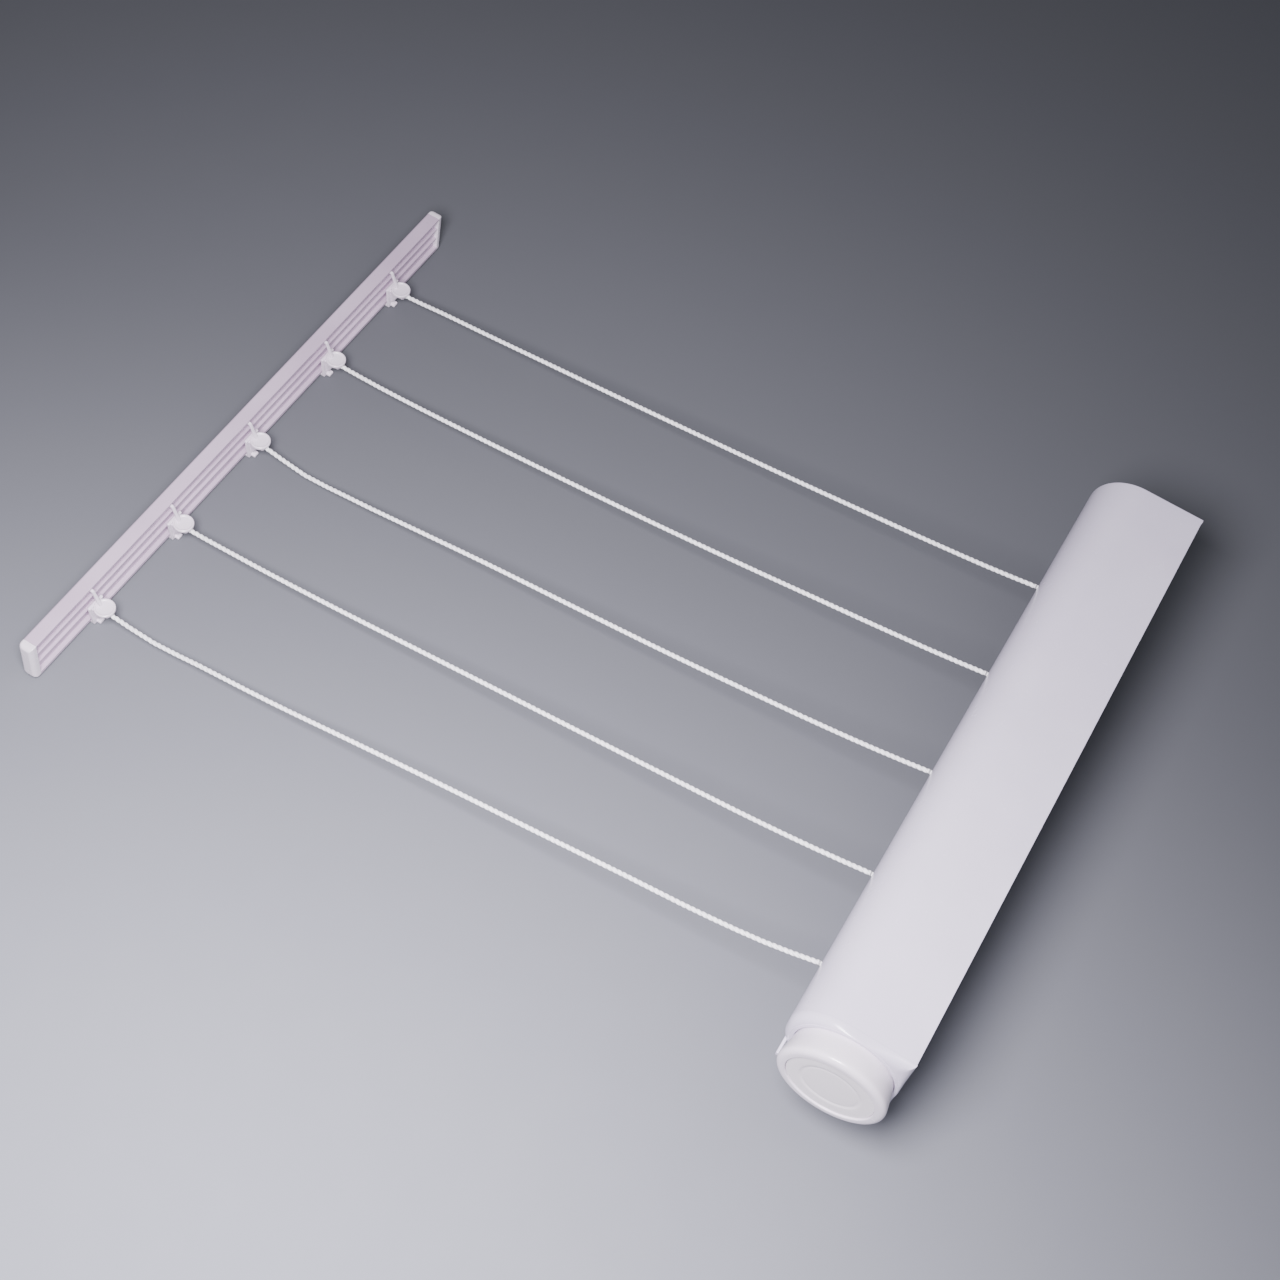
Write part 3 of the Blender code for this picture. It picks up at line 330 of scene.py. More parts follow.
def plastic(name, light, dark, rough):
    """Satin moulded plastic: faint clouding, fine grain and slow sink marks."""
    nodes = Nodes(name)
    vector = nodes.coordinates((1, 1, 1))
    nodes.ramp(nodes.noise(vector, 22, 4), ((0.35, dark), (0.65, light)))
    nodes.roughness(nodes.noise(vector, 160), *rough)
    sinks = nodes.noise(vector, 28, 1)
    grain = nodes.noise(vector, 2600, 4)
    nodes.bump(((sinks, PLASTIC_SINKS), (grain, PLASTIC_GRAIN)))
    nodes.shader.inputs["Specular IOR Level"].default_value = PLASTIC_SPECULAR
    return nodes.material


def rope_fibre(name, light, dark, stretch):
    """Twisted fibre: fine lines along the rope, matt and slightly fuzzy."""
    nodes = Nodes(name)
    vector = nodes.coordinates(stretch)
    nodes.ramp(nodes.noise(vector, 900, 5), ((0.30, dark), (0.62, light)))
    nodes.roughness(nodes.noise(vector, 300), 0.70, 0.92)
    nodes.bump(((nodes.noise(vector, 2600, 3), 0.00006), (nodes.noise(vector, 700, 2), 0.00005)))
    nodes.shader.inputs["Sheen Weight"].default_value = ROPE_SHEEN
    nodes.shader.inputs["Sheen Roughness"].default_value = ROPE_SHEEN_ROUGHNESS
    return nodes.material


def steel(name, light, dark, rough, stretch):
    """Drawn or turned steel with faint scratches across the stretch."""
    nodes = Nodes(name)
    vector = nodes.coordinates(stretch)
    nodes.ramp(nodes.noise(vector, 300, 5), ((0.3, dark), (0.7, light)))
    nodes.roughness(nodes.noise(vector, 500), *rough)
    nodes.bump(((nodes.noise(vector, 1800, 3), 0.000008),))
    nodes.shader.inputs["Metallic"].default_value = 1.0
    return nodes.material


def make_materials():
    return {
        "shell": plastic("shell_plastic", (0.70, 0.645, 0.78), (0.66, 0.605, 0.74), (0.20, 0.28)),
        "knob": plastic("knob_plastic", (0.83, 0.76, 0.85), (0.79, 0.72, 0.81), (0.20, 0.28)),
        "face": plastic("knob_face_plastic", (0.86, 0.80, 0.85), (0.83, 0.77, 0.82), (0.30, 0.38)),
        "bar": plastic("bar_plastic", (0.57, 0.445, 0.575), (0.51, 0.39, 0.515), (0.26, 0.36)),
        "cap": plastic("bar_cap_plastic", (0.84, 0.76, 0.85), (0.80, 0.72, 0.81), (0.24, 0.32)),
        "hook": plastic("hook_plastic", (0.84, 0.75, 0.85), (0.79, 0.70, 0.80), (0.24, 0.34)),
        "rope": rope_fibre("line_rope", (0.97, 0.96, 0.98), (0.86, 0.85, 0.88), (1, 0.06, 1)),
        "wound": rope_fibre("wound_rope", (0.90, 0.90, 0.91), (0.70, 0.70, 0.72), (1, 0.3, 0.3)),
        "reel": plastic("reel_plastic", (0.34, 0.35, 0.37), (0.29, 0.30, 0.32), (0.45, 0.55)),
        "steel": steel("steel", (0.62, 0.63, 0.65), (0.50, 0.51, 0.53), (0.24, 0.38), (0.1, 1, 1)),
        "spring": steel("spring_steel", (0.50, 0.51, 0.54), (0.38, 0.39, 0.42), (0.28, 0.42),
                        (1, 1, 1)),
    }


# ---- mesh helpers ----------------------------------------------------------------------
def loft(name, rings, closed=False):
    """Closed mesh through rings of equal point counts; a ring of one point is a tip."""
    work = bmesh.new()
    rows = [[work.verts.new(point) for point in ring] for ring in rings]
    pairs = list(zip(rows, rows[1:]))
    if closed:
        pairs.append((rows[-1], rows[0]))
    for before, after in pairs:
        count = max(len(before), len(after))
        for step in range(count):
            nxt = (step + 1) % count
            if len(before) == 1:
                work.faces.new((before[0], after[nxt], after[step]))
            elif len(after) == 1:
                work.faces.new((before[step], before[nxt], after[0]))
            else:
                work.faces.new((before[step], before[nxt], after[nxt], after[step]))
    if not closed:
        for row in (rows[0], rows[-1]):
            if len(row) > 2:
                work.faces.new(row)
    bmesh.ops.recalc_face_normals(work, faces=work.faces)
    mesh = bpy.data.meshes.new(name)
    work.to_mesh(mesh)
    work.free()
    return mesh


def around(axis, radius, height, steps):
    """Ring about an axis through the origin: heights run along +X, -Y or +Z."""
    if radius == 0:
        return [on(axis, 0, 0, height)]
    turns = [TAU * step / steps for step in range(steps)]
    return [on(axis, radius * math.cos(turn), radius * math.sin(turn), height) for turn in turns]


def on(axis, u, v, height):
    if axis == "X":
        return Vector((height, u, v))
    if axis == "Y":
        return Vector((u, -height, v))
    return Vector((u, v, height))


def turned(name, profile, steps, axis="X", closed=True):
    """Turn (radius, height) points about an axis through the origin."""
    return loft(name, [around(axis, radius, height, steps) for radius, height in profile], closed)


def rounded_box(name, low, high, edge, segments=3):
    low = Vector(low)
    high = Vector(high)
    work = bmesh.new()
    size = Matrix.Diagonal((*(high - low), 1))
    bmesh.ops.create_cube(work, size=1, matrix=Matrix.Translation((low + high) / 2) @ size)
    if edge:
        bmesh.ops.bevel(work, geom=list(work.edges), offset=edge, segments=segments, profile=0.5,
                        affect="EDGES")
    mesh = bpy.data.meshes.new(name)
    work.to_mesh(mesh)
    work.free()
    return mesh


def rounded_outline(corners, radii, steps=4):
    """Polygon with each corner replaced by a round one; radius 0 keeps it sharp."""
    points = []
    count = len(corners)
    for place in range(count):
        corner = Vector(corners[place])
        radius = radii[place]
        if not radius:
            points.append(tuple(corner))
            continue
        before = (Vector(corners[place - 1]) - corner).normalized()
        after = (Vector(corners[(place + 1) % count]) - corner).normalized()
        half = before.angle(after) / 2
        reach = radius / math.tan(half)
        centre = corner + (before + after).normalized() * radius / math.sin(half)
        start = corner + before * reach - centre
        sweep = start.angle_signed(corner + after * reach - centre)
        for step in range(steps + 1):
            turn = Matrix.Rotation(-sweep * step / steps, 2)
            points.append(tuple(centre + turn @ start))
    return points


def solid(name, mesh):
    item = bpy.data.objects.new(name, mesh)
    bpy.context.scene.collection.objects.link(item)
    return item


def combined(name, mesh, steps):
    """Mesh after Boolean steps, each (operation, other mesh)."""
    item = solid(name, mesh)
    tools = []
    for operation, other in steps:
        tool = solid(name + "_tool", other)
        tools.append(tool)
        step = item.modifiers.new("step", "BOOLEAN")
        step.operation = operation
        step.solver = "EXACT"
        step.object = tool
    bpy.context.view_layer.update()
    graph = bpy.context.evaluated_depsgraph_get()
    result = bpy.data.meshes.new_from_object(item.evaluated_get(graph))
    for used in [item, *tools]:
        bpy.data.objects.remove(used)
    return result


def shifted(mesh, offset):
    mesh.transform(Matrix.Translation(offset))
    return mesh


def piece(name, mesh, body, look, nodes, sharp=32, place=None):
    """Finished object: shaded, finished, riding on its body and standing for its CAD nodes."""
    mesh.shade_smooth()
    mesh.set_sharp_from_angle(angle=math.radians(sharp))
    mesh.materials.clear()
    mesh.materials.append(look)
    item = solid(name, mesh)
    if place is not None:
        item.location = place
    weights = item.modifiers.new("normals", "WEIGHTED_NORMAL")
    weights.keep_sharp = True
    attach(item, body)
    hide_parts(*nodes)
    return item


# ---- lines -----------------------------------------------------------------------------
def smooth_route(corners, count):
    """Even points on a smooth curve through the corners, whatever their spacing."""
    spans = [(after - before).length for before, after in zip(corners, corners[1:])]
    slopes = [(after - before) / span for before, after, span in zip(corners, corners[1:], spans)]
    headings = [slopes[0]]
    for place in range(1, len(slopes)):
        near, far = spans[place - 1], spans[place]
        headings.append((slopes[place - 1] * far + slopes[place] * near) / (near + far))
    headings.append(slopes[-1])
    fine = []
    for place, span in enumerate(spans):
        for step in range(ROUTE_STEPS):
            t = step / ROUTE_STEPS
            fine.append(corners[place] * (2 * t ** 3 - 3 * t ** 2 + 1)
                        + headings[place] * span * (t ** 3 - 2 * t ** 2 + t)
                        + corners[place + 1] * (3 * t ** 2 - 2 * t ** 3)
                        + headings[place + 1] * span * (t ** 3 - t ** 2))
    fine.append(corners[-1])
    run = lengths(fine)
    return [along(fine, run, run[-1] * step / (count - 1)) for step in range(count)]


def lengths(points):
    """Running length at each point of a route."""
    run = [0]
    for before, after in zip(points, points[1:]):
        run.append(run[-1] + (after - before).length)
    return run


def along(points, run, target):
    """Point at a running length on a route."""
    place = 0
    while place < len(run) - 2 and run[place + 1] < target:
        place += 1
    share = (target - run[place]) / (run[place + 1] - run[place])
    return points[place].lerp(points[place + 1], min(share, 1))


def front_y():
    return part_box("front_cover")[0].y


def bar_face_y():
    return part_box("line_bar")[1].y


def bar_z():
    low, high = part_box("line_bar")
    return (low.z + high.z) / 2


def line_route(index):
    """Free stretch of one line, hanging between its eyelet and its hook's socket."""
    mouth_y = bar_face_y() + HOOK_BOSS_END
    start = Vector((EXIT_X[index], front_y() - LINE_SPLIT - GAP, EXIT_Z))
    end = Vector((HOOK_X[index], mouth_y - LINE_GRIP, bar_z() + HOOK_BOSS_Z))
    corners = [start]
    for share, drop in zip(DROP_AT, LINE_DROPS[index]):
        corners.append(start.lerp(end, share) - Vector((0, 0, drop)))
    corners += [Vector((end.x, mouth_y + LINE_STRAIGHT, end.z)), end]
    return smooth_route(corners, LINE_POINTS)


def lead_route(index):
    """Stretch of one line from its winding to its eyelet."""
    aim_y = front_y() + LEAD_AIM
    radius = WINDING_RADIUS + GAP + LINE_DIAMETER / 2
    lift = math.acos(radius / (AXIS_Y - aim_y)) + math.atan2(EXIT_Z / 2, AXIS_Y - aim_y)
    start = Vector((0, AXIS_Y - radius * math.cos(lift), radius * math.sin(lift)))
    heading = Vector((0, -math.sin(lift), -math.cos(lift)))
    corners = [start]
    for reach in LEAD_STRAIGHT:
        corners.append(start + heading * reach)
    for depth, rise in LEAD_MOUTH:
        corners.append(Vector((0, front_y() + depth, EXIT_Z + rise)))
    corners.append(Vector((0, front_y() - LINE_SPLIT, EXIT_Z)))
    return [point + Vector((EXIT_X[index], 0, 0)) for point in smooth_route(corners, LEAD_POINTS)]


def strand_reach(angle):
    """Distance from the rope's middle to its surface, for three strands laid together."""
    rope = LINE_DIAMETER / 2
    strand = STRAND * rope
    centre = rope - strand
    off = (angle + TAU / 6) % (TAU / 3) - TAU / 6
    inside = strand ** 2 - (centre * math.sin(off)) ** 2
    return max(centre * math.cos(off) + math.sqrt(max(inside, 0)), VALLEY * rope)


def rope_mesh(name, route, turned_at_start=0.0):
    """Three-strand rope along a route, left-handed, with flat ends."""
    run = lengths(route)
    count = max(2, round(run[-1] / ROPE_RING))
    centres = [along(route, run, run[-1] * step / count) for step in range(count + 1)]
    rings = []
    for step, centre in enumerate(centres):
        heading = (centres[min(step + 1, count)] - centres[max(step - 1, 0)]).normalized()
        side = (Vector((1, 0, 0)) - heading * heading.x).normalized()
        up = heading.cross(side)
        twist = turned_at_start + TAU * run[-1] * step / count / ROPE_LAY
        ring_points = []
        for place in range(ROPE_SIDES):
            angle = TAU * place / ROPE_SIDES
            reach = strand_reach(angle)
            turn = angle + twist
            ring_points.append(centre + (side * math.cos(turn) + up * math.sin(turn)) * reach)
        rings.append(ring_points)
    return loft(name, rings)


def make_lines(looks):
    for index in range(len(EXIT_X)):
        route = line_route(index)
        rope = piece(f"rope_{index + 1}", rope_mesh("rope", route), "housing", looks["rope"],
                     [f"line_{index + 1}"], sharp=180)
        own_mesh(rope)
        lead = lead_route(index)
        back_turn = -TAU * lengths(lead)[-1] / ROPE_LAY
        piece(f"rope_lead_{index + 1}", rope_mesh("rope_lead", lead, back_turn), "housing",
              looks["rope"], [f"line_lead_{index + 1}"], sharp=180)


# ---- housing ---------------------------------------------------------------------------
def section(inset=0.0, back_y=0.0):
    """(y, z) outline of the housing, from the top of its back round the front."""
    depth = -front_y()
    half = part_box("front_cover")[1].z
    centre_y = FRONT_RADIUS - depth
    centre_z = half - FRONT_RADIUS
    radius = FRONT_RADIUS - inset
    upper = [(back_y, half - inset)]
    for step in range(ARC_STEPS + 1):
        angle = math.pi / 2 * (1 + step / ARC_STEPS)
        upper.append((centre_y + radius * math.cos(angle), centre_z + radius * math.sin(angle)))
    return upper + [(y, -z) for y, z in reversed(upper)]


def reach_of(outline, angle):
    """Distance from the reel axis to an outline, in a direction about the axis."""
    ray = Vector((math.cos(angle), math.sin(angle)))
    best = 0
    for start, end in zip(outline, outline[1:] + outline[:1]):
        start = Vector((start[0] - AXIS_Y, start[1]))
        side = Vector((end[0] - AXIS_Y, end[1])) - start
        span = ray.x * side.y - ray.y * side.x
        if abs(span) < 1e-12:
            continue
        share = (start.y * ray.x - start.x * ray.y) / -span
        reach = (start.x * side.y - start.y * side.x) / span
        if -1e-9 <= share <= 1 + 1e-9:
            best = max(best, reach)
    return best


def ring_angles(outline):
    """Even angles about the reel axis, with the outline's two back corners met exactly."""
    corner = math.atan2(outline[0][1], outline[0][0] - AXIS_Y)
    angles = [TAU * step / RING_STEPS for step in range(RING_STEPS)]
    for exact in (corner, TAU - corner):
        nearest = min(range(RING_STEPS), key=lambda place: abs(angles[place] - exact))
        angles[nearest] = exact
    return angles


def section_ring(x, outline, angles):
    return axis_ring(x, [reach_of(outline, angle) for angle in angles], angles)


def axis_ring(x, reaches, angles):
    """Ring about the reel axis with a distance for each angle."""
    return [Vector((x, AXIS_Y + reach * math.cos(angle), reach * math.sin(angle)))
            for reach, angle in zip(reaches, angles)]


def round_ring(x, radius, angles):
    return axis_ring(x, [radius] * len(angles), angles)


def y_bore(x, z, start, end, radius, sides=32):
    """Cutter along Y from start to end."""
    profile = [(0, 0), (radius, 0), (radius, start - end), (0, start - end)]
    return shifted(turned("bore", profile, sides, "Y", closed=False), (x, start, z))


def screw_hole_cuts(x):
    """Holes in an end piece for the two plate screws at x."""
    return [("DIFFERENCE", y_bore(x, sign * SCREW_Z, THROUGH[0], SCREW_HOLE_END, SCREW_HOLE))
            for sign in (1, -1)]


def make_cover(looks):
    """Open shell round the reel, with a stepped hole for each eyelet."""
    x0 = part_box("end_cap_far")[0].x + CAP_THICKNESS + SEAM
    x1 = NEAR_X - SEAM
    rings = []
    for x in (x0, x1):
        outer = [Vector((x, y, z)) for y, z in section(back_y=-GAP)]
        inner = [Vector((x, y, z)) for y, z in section(WALL, -GAP)]
        rings.append(outer + inner[::-1])
    count = len(rings[0])
    half = count // 2
    work = bmesh.new()
    rows = [[work.verts.new(point) for point in ring] for ring in rings]
    for step in range(count):
        nxt = (step + 1) % count
        work.faces.new((rows[0][step], rows[0][nxt], rows[1][nxt], rows[1][step]))
    for row in rows:
        for step in range(half - 1):
            work.faces.new((row[step], row[step + 1], row[count - 2 - step], row[count - 1 - step]))
    bmesh.ops.recalc_face_normals(work, faces=work.faces)
    mesh = bpy.data.meshes.new("cover")
    work.to_mesh(mesh)
    work.free()
    face = front_y()
    inside = face + EYELET_CUT[0]
    outside = face - EYELET_CUT[1]
    cuts = []
    for x in EXIT_X:
        cuts.append(("DIFFERENCE", y_bore(x, EXIT_Z, inside, outside, EYELET_HOLE, 48)))
        seat = y_bore(x, EXIT_Z, face + EYELET_SEAT_DEPTH, outside, EYELET_SEAT, 48)
        cuts.append(("DIFFERENCE", seat))
    piece("cover_shell", combined("cover", mesh, cuts), "housing", looks["shell"],
          ["front_cover"])


def make_far_cap(looks):
    """Closed end piece with a rounded edge, a spigot in the cover and the axle's boss."""
    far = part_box("end_cap_far")[0].x
    inner = far + CAP_THICKNESS
    outline = section()
    spigot = section(SPIGOT_INSET, SPIGOT_BACK)
    angles = ring_angles(outline)
    full = [reach_of(outline, angle) for angle in angles]
    rings = [round_ring(far, CAP_FACE_RADIUS, angles)]
    for step in range(CAP_EDGE_STEPS + 1):
        turn = math.pi / 2 * step / CAP_EDGE_STEPS
        inset = CAP_EDGE * (1 - math.sin(turn))
        x = far + CAP_EDGE * (1 - math.cos(turn))
        rings.append(axis_ring(x, [reach - inset for reach in full], angles))
    rings += [axis_ring(inner, full, angles), section_ring(inner, spigot, angles),
              section_ring(inner + CAP_SPIGOT, spigot, angles),
              round_ring(inner + CAP_SPIGOT, POCKET_RADIUS, angles),
              round_ring(inner, POCKET_RADIUS, angles), round_ring(inner, BOSS_RADIUS, angles),
              round_ring(inner + BOSS_LENGTH, BOSS_RADIUS, angles),
              round_ring(inner + BOSS_LENGTH, AXLE_BORE, angles),
              round_ring(inner, AXLE_BORE, angles)]
    cuts = screw_hole_cuts(SCREW_X[0])
    piece("far_cap", combined("far_cap", loft("far_cap", rings), cuts), "housing", looks["shell"],
          ["end_cap_far"])


def make_collar(looks):
    """Near end piece: shoulder and rim round the knob, and the bulkhead in the housing."""
    outline = section()
    spigot = section(SPIGOT_INSET, SPIGOT_BACK)
    angles = ring_angles(outline)
    full = [reach_of(outline, angle) for angle in angles]
    rim_x = NEAR_X + SHOULDER_LENGTH
    rings = [round_ring(BULKHEAD_X, AXLE_BORE, angles), section_ring(BULKHEAD_X, spigot, angles),
             section_ring(NEAR_X, spigot, angles)]
    for step in range(SHOULDER_STEPS + 1):
        turn = math.pi / 2 * step / SHOULDER_STEPS
        share = math.cos(turn)
        reaches = [SHOULDER_RADIUS + (reach - SHOULDER_RADIUS) * share for reach in full]
        x = NEAR_X + (SHOULDER_LENGTH - RIM_EDGE) * math.sin(turn)
        rings.append(axis_ring(x, reaches, angles))
    rings += [round_ring(rim_x, SHOULDER_RADIUS - RIM_EDGE, angles),
              round_ring(rim_x, OPENING_RADIUS + RIM_EDGE, angles),
              round_ring(rim_x - RIM_EDGE, OPENING_RADIUS, angles),
              round_ring(OPENING_X, OPENING_RADIUS, angles),
              round_ring(OPENING_X, POCKET_RADIUS, angles),
              round_ring(BULKHEAD_X + BULKHEAD_THICKNESS, POCKET_RADIUS, angles),
              round_ring(BULKHEAD_X + BULKHEAD_THICKNESS, AXLE_BORE, angles)]
    steps = screw_hole_cuts(SCREW_X[1])
    height, radius = BOLT_HOLE
    start, end = BOLT_HOLE_CUT
    hole = turned("bolt_hole", [(0, start), (radius, start), (radius, end), (0, end)], 24,
                  closed=False)
    steps.append(("DIFFERENCE", shifted(hole, (BULKHEAD_X, AXIS_Y, height))))
    steps.append(("UNION", rounded_box("tab", TAB_LOW, TAB_HIGH, TAB_EDGE)))
    piece("collar", combined("collar", loft("collar", rings, closed=True), steps), "housing",
          looks["shell"], ["end_collar"])


def make_eyelets(looks):
    """Grommets flush in the cover's line holes."""
    profile = [(0.0042, -0.0001), (0.0048, 0.0), (0.0056, 0.0), (0.0063, -0.0002),
               (0.0066, -0.0006), (0.0066, -0.0010), (0.0050, -0.0010), (0.0050, -0.0030),
               (0.0044, -0.0030), (0.0038, -0.0025), (0.0035, -0.0019), (0.0034, -0.0013),
               (0.0035, -0.0008), (0.0038, -0.0004)]
    mesh = turned("eyelet", profile, 56, "Y")
    for index, x in enumerate(EXIT_X):
        piece(f"eyelet_{index + 1}", mesh, "housing", looks["hook"],
              [f"line_eyelet_{index + 1}"], place=(x, front_y(), EXIT_Z))


def make_back(looks):
    """Back plate with its keyholes and the recessed holes for its screws."""
    low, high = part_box("back_plate")
    cuts = []
    for x in KEYHOLE_X:
        cuts.append(("DIFFERENCE", y_bore(x, KEYHOLE_Z, *THROUGH, KEYHOLE_RADIUS, 48)))
        slot_low = (x - KEYHOLE_SLOT_HALF, THROUGH[1], KEYHOLE_Z)
        slot_high = (x + KEYHOLE_SLOT_HALF, THROUGH[0], KEYHOLE_SLOT_TOP - KEYHOLE_SLOT_HALF)
        cuts.append(("DIFFERENCE", rounded_box("slot", slot_low, slot_high, 0)))
        cuts.append(("DIFFERENCE", y_bore(x, slot_high[2], *SLOT_THROUGH, KEYHOLE_SLOT_HALF, 32)))
    for x in SCREW_X:
        for z in (SCREW_Z, -SCREW_Z):
            cuts.append(("DIFFERENCE", y_bore(x, z, *THROUGH, SCREW_HOLE)))
            recess = y_bore(x, z, RECESS_START, -SCREW_RECESS_DEPTH, SCREW_RECESS, 40)
            cuts.append(("DIFFERENCE", recess))
    mesh = rounded_box("plate", low, high, PLATE_EDGE, 2)
    piece("wall_plate", combined("plate", mesh, cuts), "housing", looks["shell"],
          ["back_plate"])


def make_screws(looks):
    """Pan-head screws with a cross recess, seen from the wall side."""
    profile = [(0, SCREW_LENGTH), (0.0008, SCREW_LENGTH), (SCREW_RADIUS, SCREW_LENGTH - 0.0010),
               (SCREW_RADIUS, 0.0013), (SCREW_HEAD, 0.0013), (SCREW_HEAD, 0.0007),
               (SCREW_HEAD - 0.0003, 0.0003), (SCREW_HEAD - 0.0009, 0.0001), (0.0010, 0), (0, 0)]
    mesh = turned("screw", profile, 40, "Y", closed=False)
    short, long = SCREW_CROSS
    cross = [("DIFFERENCE", rounded_box("slot", (-wide, -SCREW_CROSS_DEPTH, -tall),
                                        (wide, SCREW_CROSS_DEPTH, tall), 0))
             for wide, tall in ((short, long), (long, short))]
    mesh = combined("screw", mesh, cross)
    for side, x in zip(("far", "near"), SCREW_X):
        for level, z in (("upper", SCREW_Z), ("lower", -SCREW_Z)):
            piece(f"screw_{side}_{level}", mesh, "housing", looks["steel"],
                  [f"plate_screw_{side}_{level}"], place=(x, -GAP, z))


# ---- knob ------------------------------------------------------------------------------
def make_knob(looks):
    """Round knob with a soft raised rim, and the disc set in its face."""
    edge = KNOB_X1
    root, back, web = KNOB_WEB_X
    profile = [(KNOB_FACE_RADIUS, edge - KNOB_LEDGE), (KNOB_FACE_RADIUS, edge - 0.0005),
               (0.0221, edge - 0.0002), (0.0224, edge), (0.0232, edge), (0.0240, edge),
               (0.0248, edge - 0.0001), (0.0256, edge - 0.0004), (0.0263, edge - 0.0009),
               (0.0268, edge - 0.0016), (KNOB_RADIUS, edge - 0.0025), (0.0269, edge - 0.0036),
               (0.0265, edge - 0.0060), (0.0256, edge - 0.0100), (0.0249, 0.1842),
               (KNOB_NECK, 0.1820),
               (KNOB_NECK, KNOB_X0 + 0.0003), (KNOB_NECK - 0.0002, KNOB_X0), (KNOB_INNER, KNOB_X0),
               (KNOB_INNER, root), (KNOB_CAM_INNER, root), (KNOB_CAM_INNER, back),
               (KNOB_HUB, back), (KNOB_HUB, KNOB_HUB_X[0]), (AXLE_BORE, KNOB_HUB_X[0]),
               (AXLE_BORE, KNOB_HUB_X[1]), (KNOB_HUB, KNOB_HUB_X[1]), (KNOB_HUB, web),
               (KNOB_WELL, web), (KNOB_WELL, edge - KNOB_LEDGE)]
    mesh = shifted(turned("knob", profile, RING_STEPS), (0, AXIS_Y, 0))
    piece("knob_body", mesh, "knob", looks["knob"], ["lock_knob"])
    front = edge - KNOB_FACE_SUNK
    rim = KNOB_FACE_RADIUS - 0.0001
    disc = [(0, front - 0.0003), (0.0040, front - 0.0003), (0.0128, front - 0.0003),
            (0.0134, front - 0.0004), (0.0140, front - 0.0005), (0.0146, front - 0.0004),
            (0.0152, front - 0.0002), (0.0160, front), (0.0185, front), (rim - 0.0004, front),
            (rim - 0.0001, front - 0.0001), (rim, front - 0.0003),
            (rim, front - KNOB_FACE_THICKNESS), (0, front - KNOB_FACE_THICKNESS)]
    mesh = shifted(turned("knob_disc", disc, RING_STEPS, closed=False), (0, AXIS_Y, 0))
    piece("knob_disc", mesh, "knob", looks["face"], ["knob_face"])


# ---- line bar and hooks ----------------------------------------------------------------
def bar_outline():
    """(y, z) outline of the bar: a shallow channel with two ribs, open towards the wall."""
    low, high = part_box("line_bar")
    half = BAR_HALF_HEIGHT
    web = high.y - BAR_RECESS
    crest = web + BAR_RIB_HEIGHT
    upper = half - BAR_UPPER_FLANGE
    lower = BAR_LOWER_FLANGE - half
    corners = [(high.y, half), (low.y, half), (low.y, -half), (high.y, -half), (high.y, lower),
               (web, lower)]
    radii = [BAR_SMALL_EDGE, BAR_EDGE, BAR_EDGE, BAR_SMALL_EDGE, BAR_SMALL_EDGE, BAR_SMALL_EDGE]
    for rib in reversed(BAR_RIBS_Z):
        bottom = rib - BAR_RIB / 2
        top = rib + BAR_RIB / 2
        corners += [(web, bottom), (crest, bottom), (crest, top), (web, top)]
        radii += [BAR_SMALL_EDGE] * 4
    corners += [(web, upper), (high.y, upper)]
    radii += [BAR_SMALL_EDGE] * 2
    return [(y, bar_z() + z) for y, z in rounded_outline(corners, radii)]


def make_bar(looks):
    """Extruded bar with a hollow behind its grooves."""
    low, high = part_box("line_bar")
    ends = (low.x - BAR_OVERRUN, high.x + BAR_OVERRUN)
    rings = [[Vector((x, y, z)) for y, z in bar_outline()] for x in ends]
    hollow_low = (low.x - 0.01, low.y + BAR_WEB, bar_z() - CHAMBER_HALF_HEIGHT)
    hollow_high = (high.x + 0.01, high.y - BAR_RECESS - BAR_WEB, bar_z() + CHAMBER_HALF_HEIGHT)
    hollow = [("DIFFERENCE", rounded_box("hollow", hollow_low, hollow_high, 0))]
    piece("bar", combined("bar", loft("bar", rings), hollow), "bar", looks["bar"],
          ["line_bar"])


def cap_ring(x, inset, far_edge, near_edge):
    """Rounded rectangle of a bar cap, its outer corners rounder than those by the wall side."""
    low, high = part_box("line_bar")
    y0 = low.y + inset
    y1 = high.y - inset
    half = BAR_HALF_HEIGHT - inset
    corners = [(y1, half), (y0, half), (y0, -half), (y1, -half)]
    outline = rounded_outline(corners, [near_edge, far_edge, far_edge, near_edge], 5)
    return [Vector((x, y, bar_z() + z)) for y, z in outline]


def plug_ring(x):
    low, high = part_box("line_bar")
    y0 = low.y + BAR_WEB + GAP
    y1 = high.y - BAR_RECESS - BAR_WEB - GAP
    half = CHAMBER_HALF_HEIGHT - GAP
    outline = rounded_outline([(y1, half), (y0, half), (y0, -half), (y1, -half)], [0.0003] * 4, 5)
    return [Vector((x, y, bar_z() + z)) for y, z in outline]


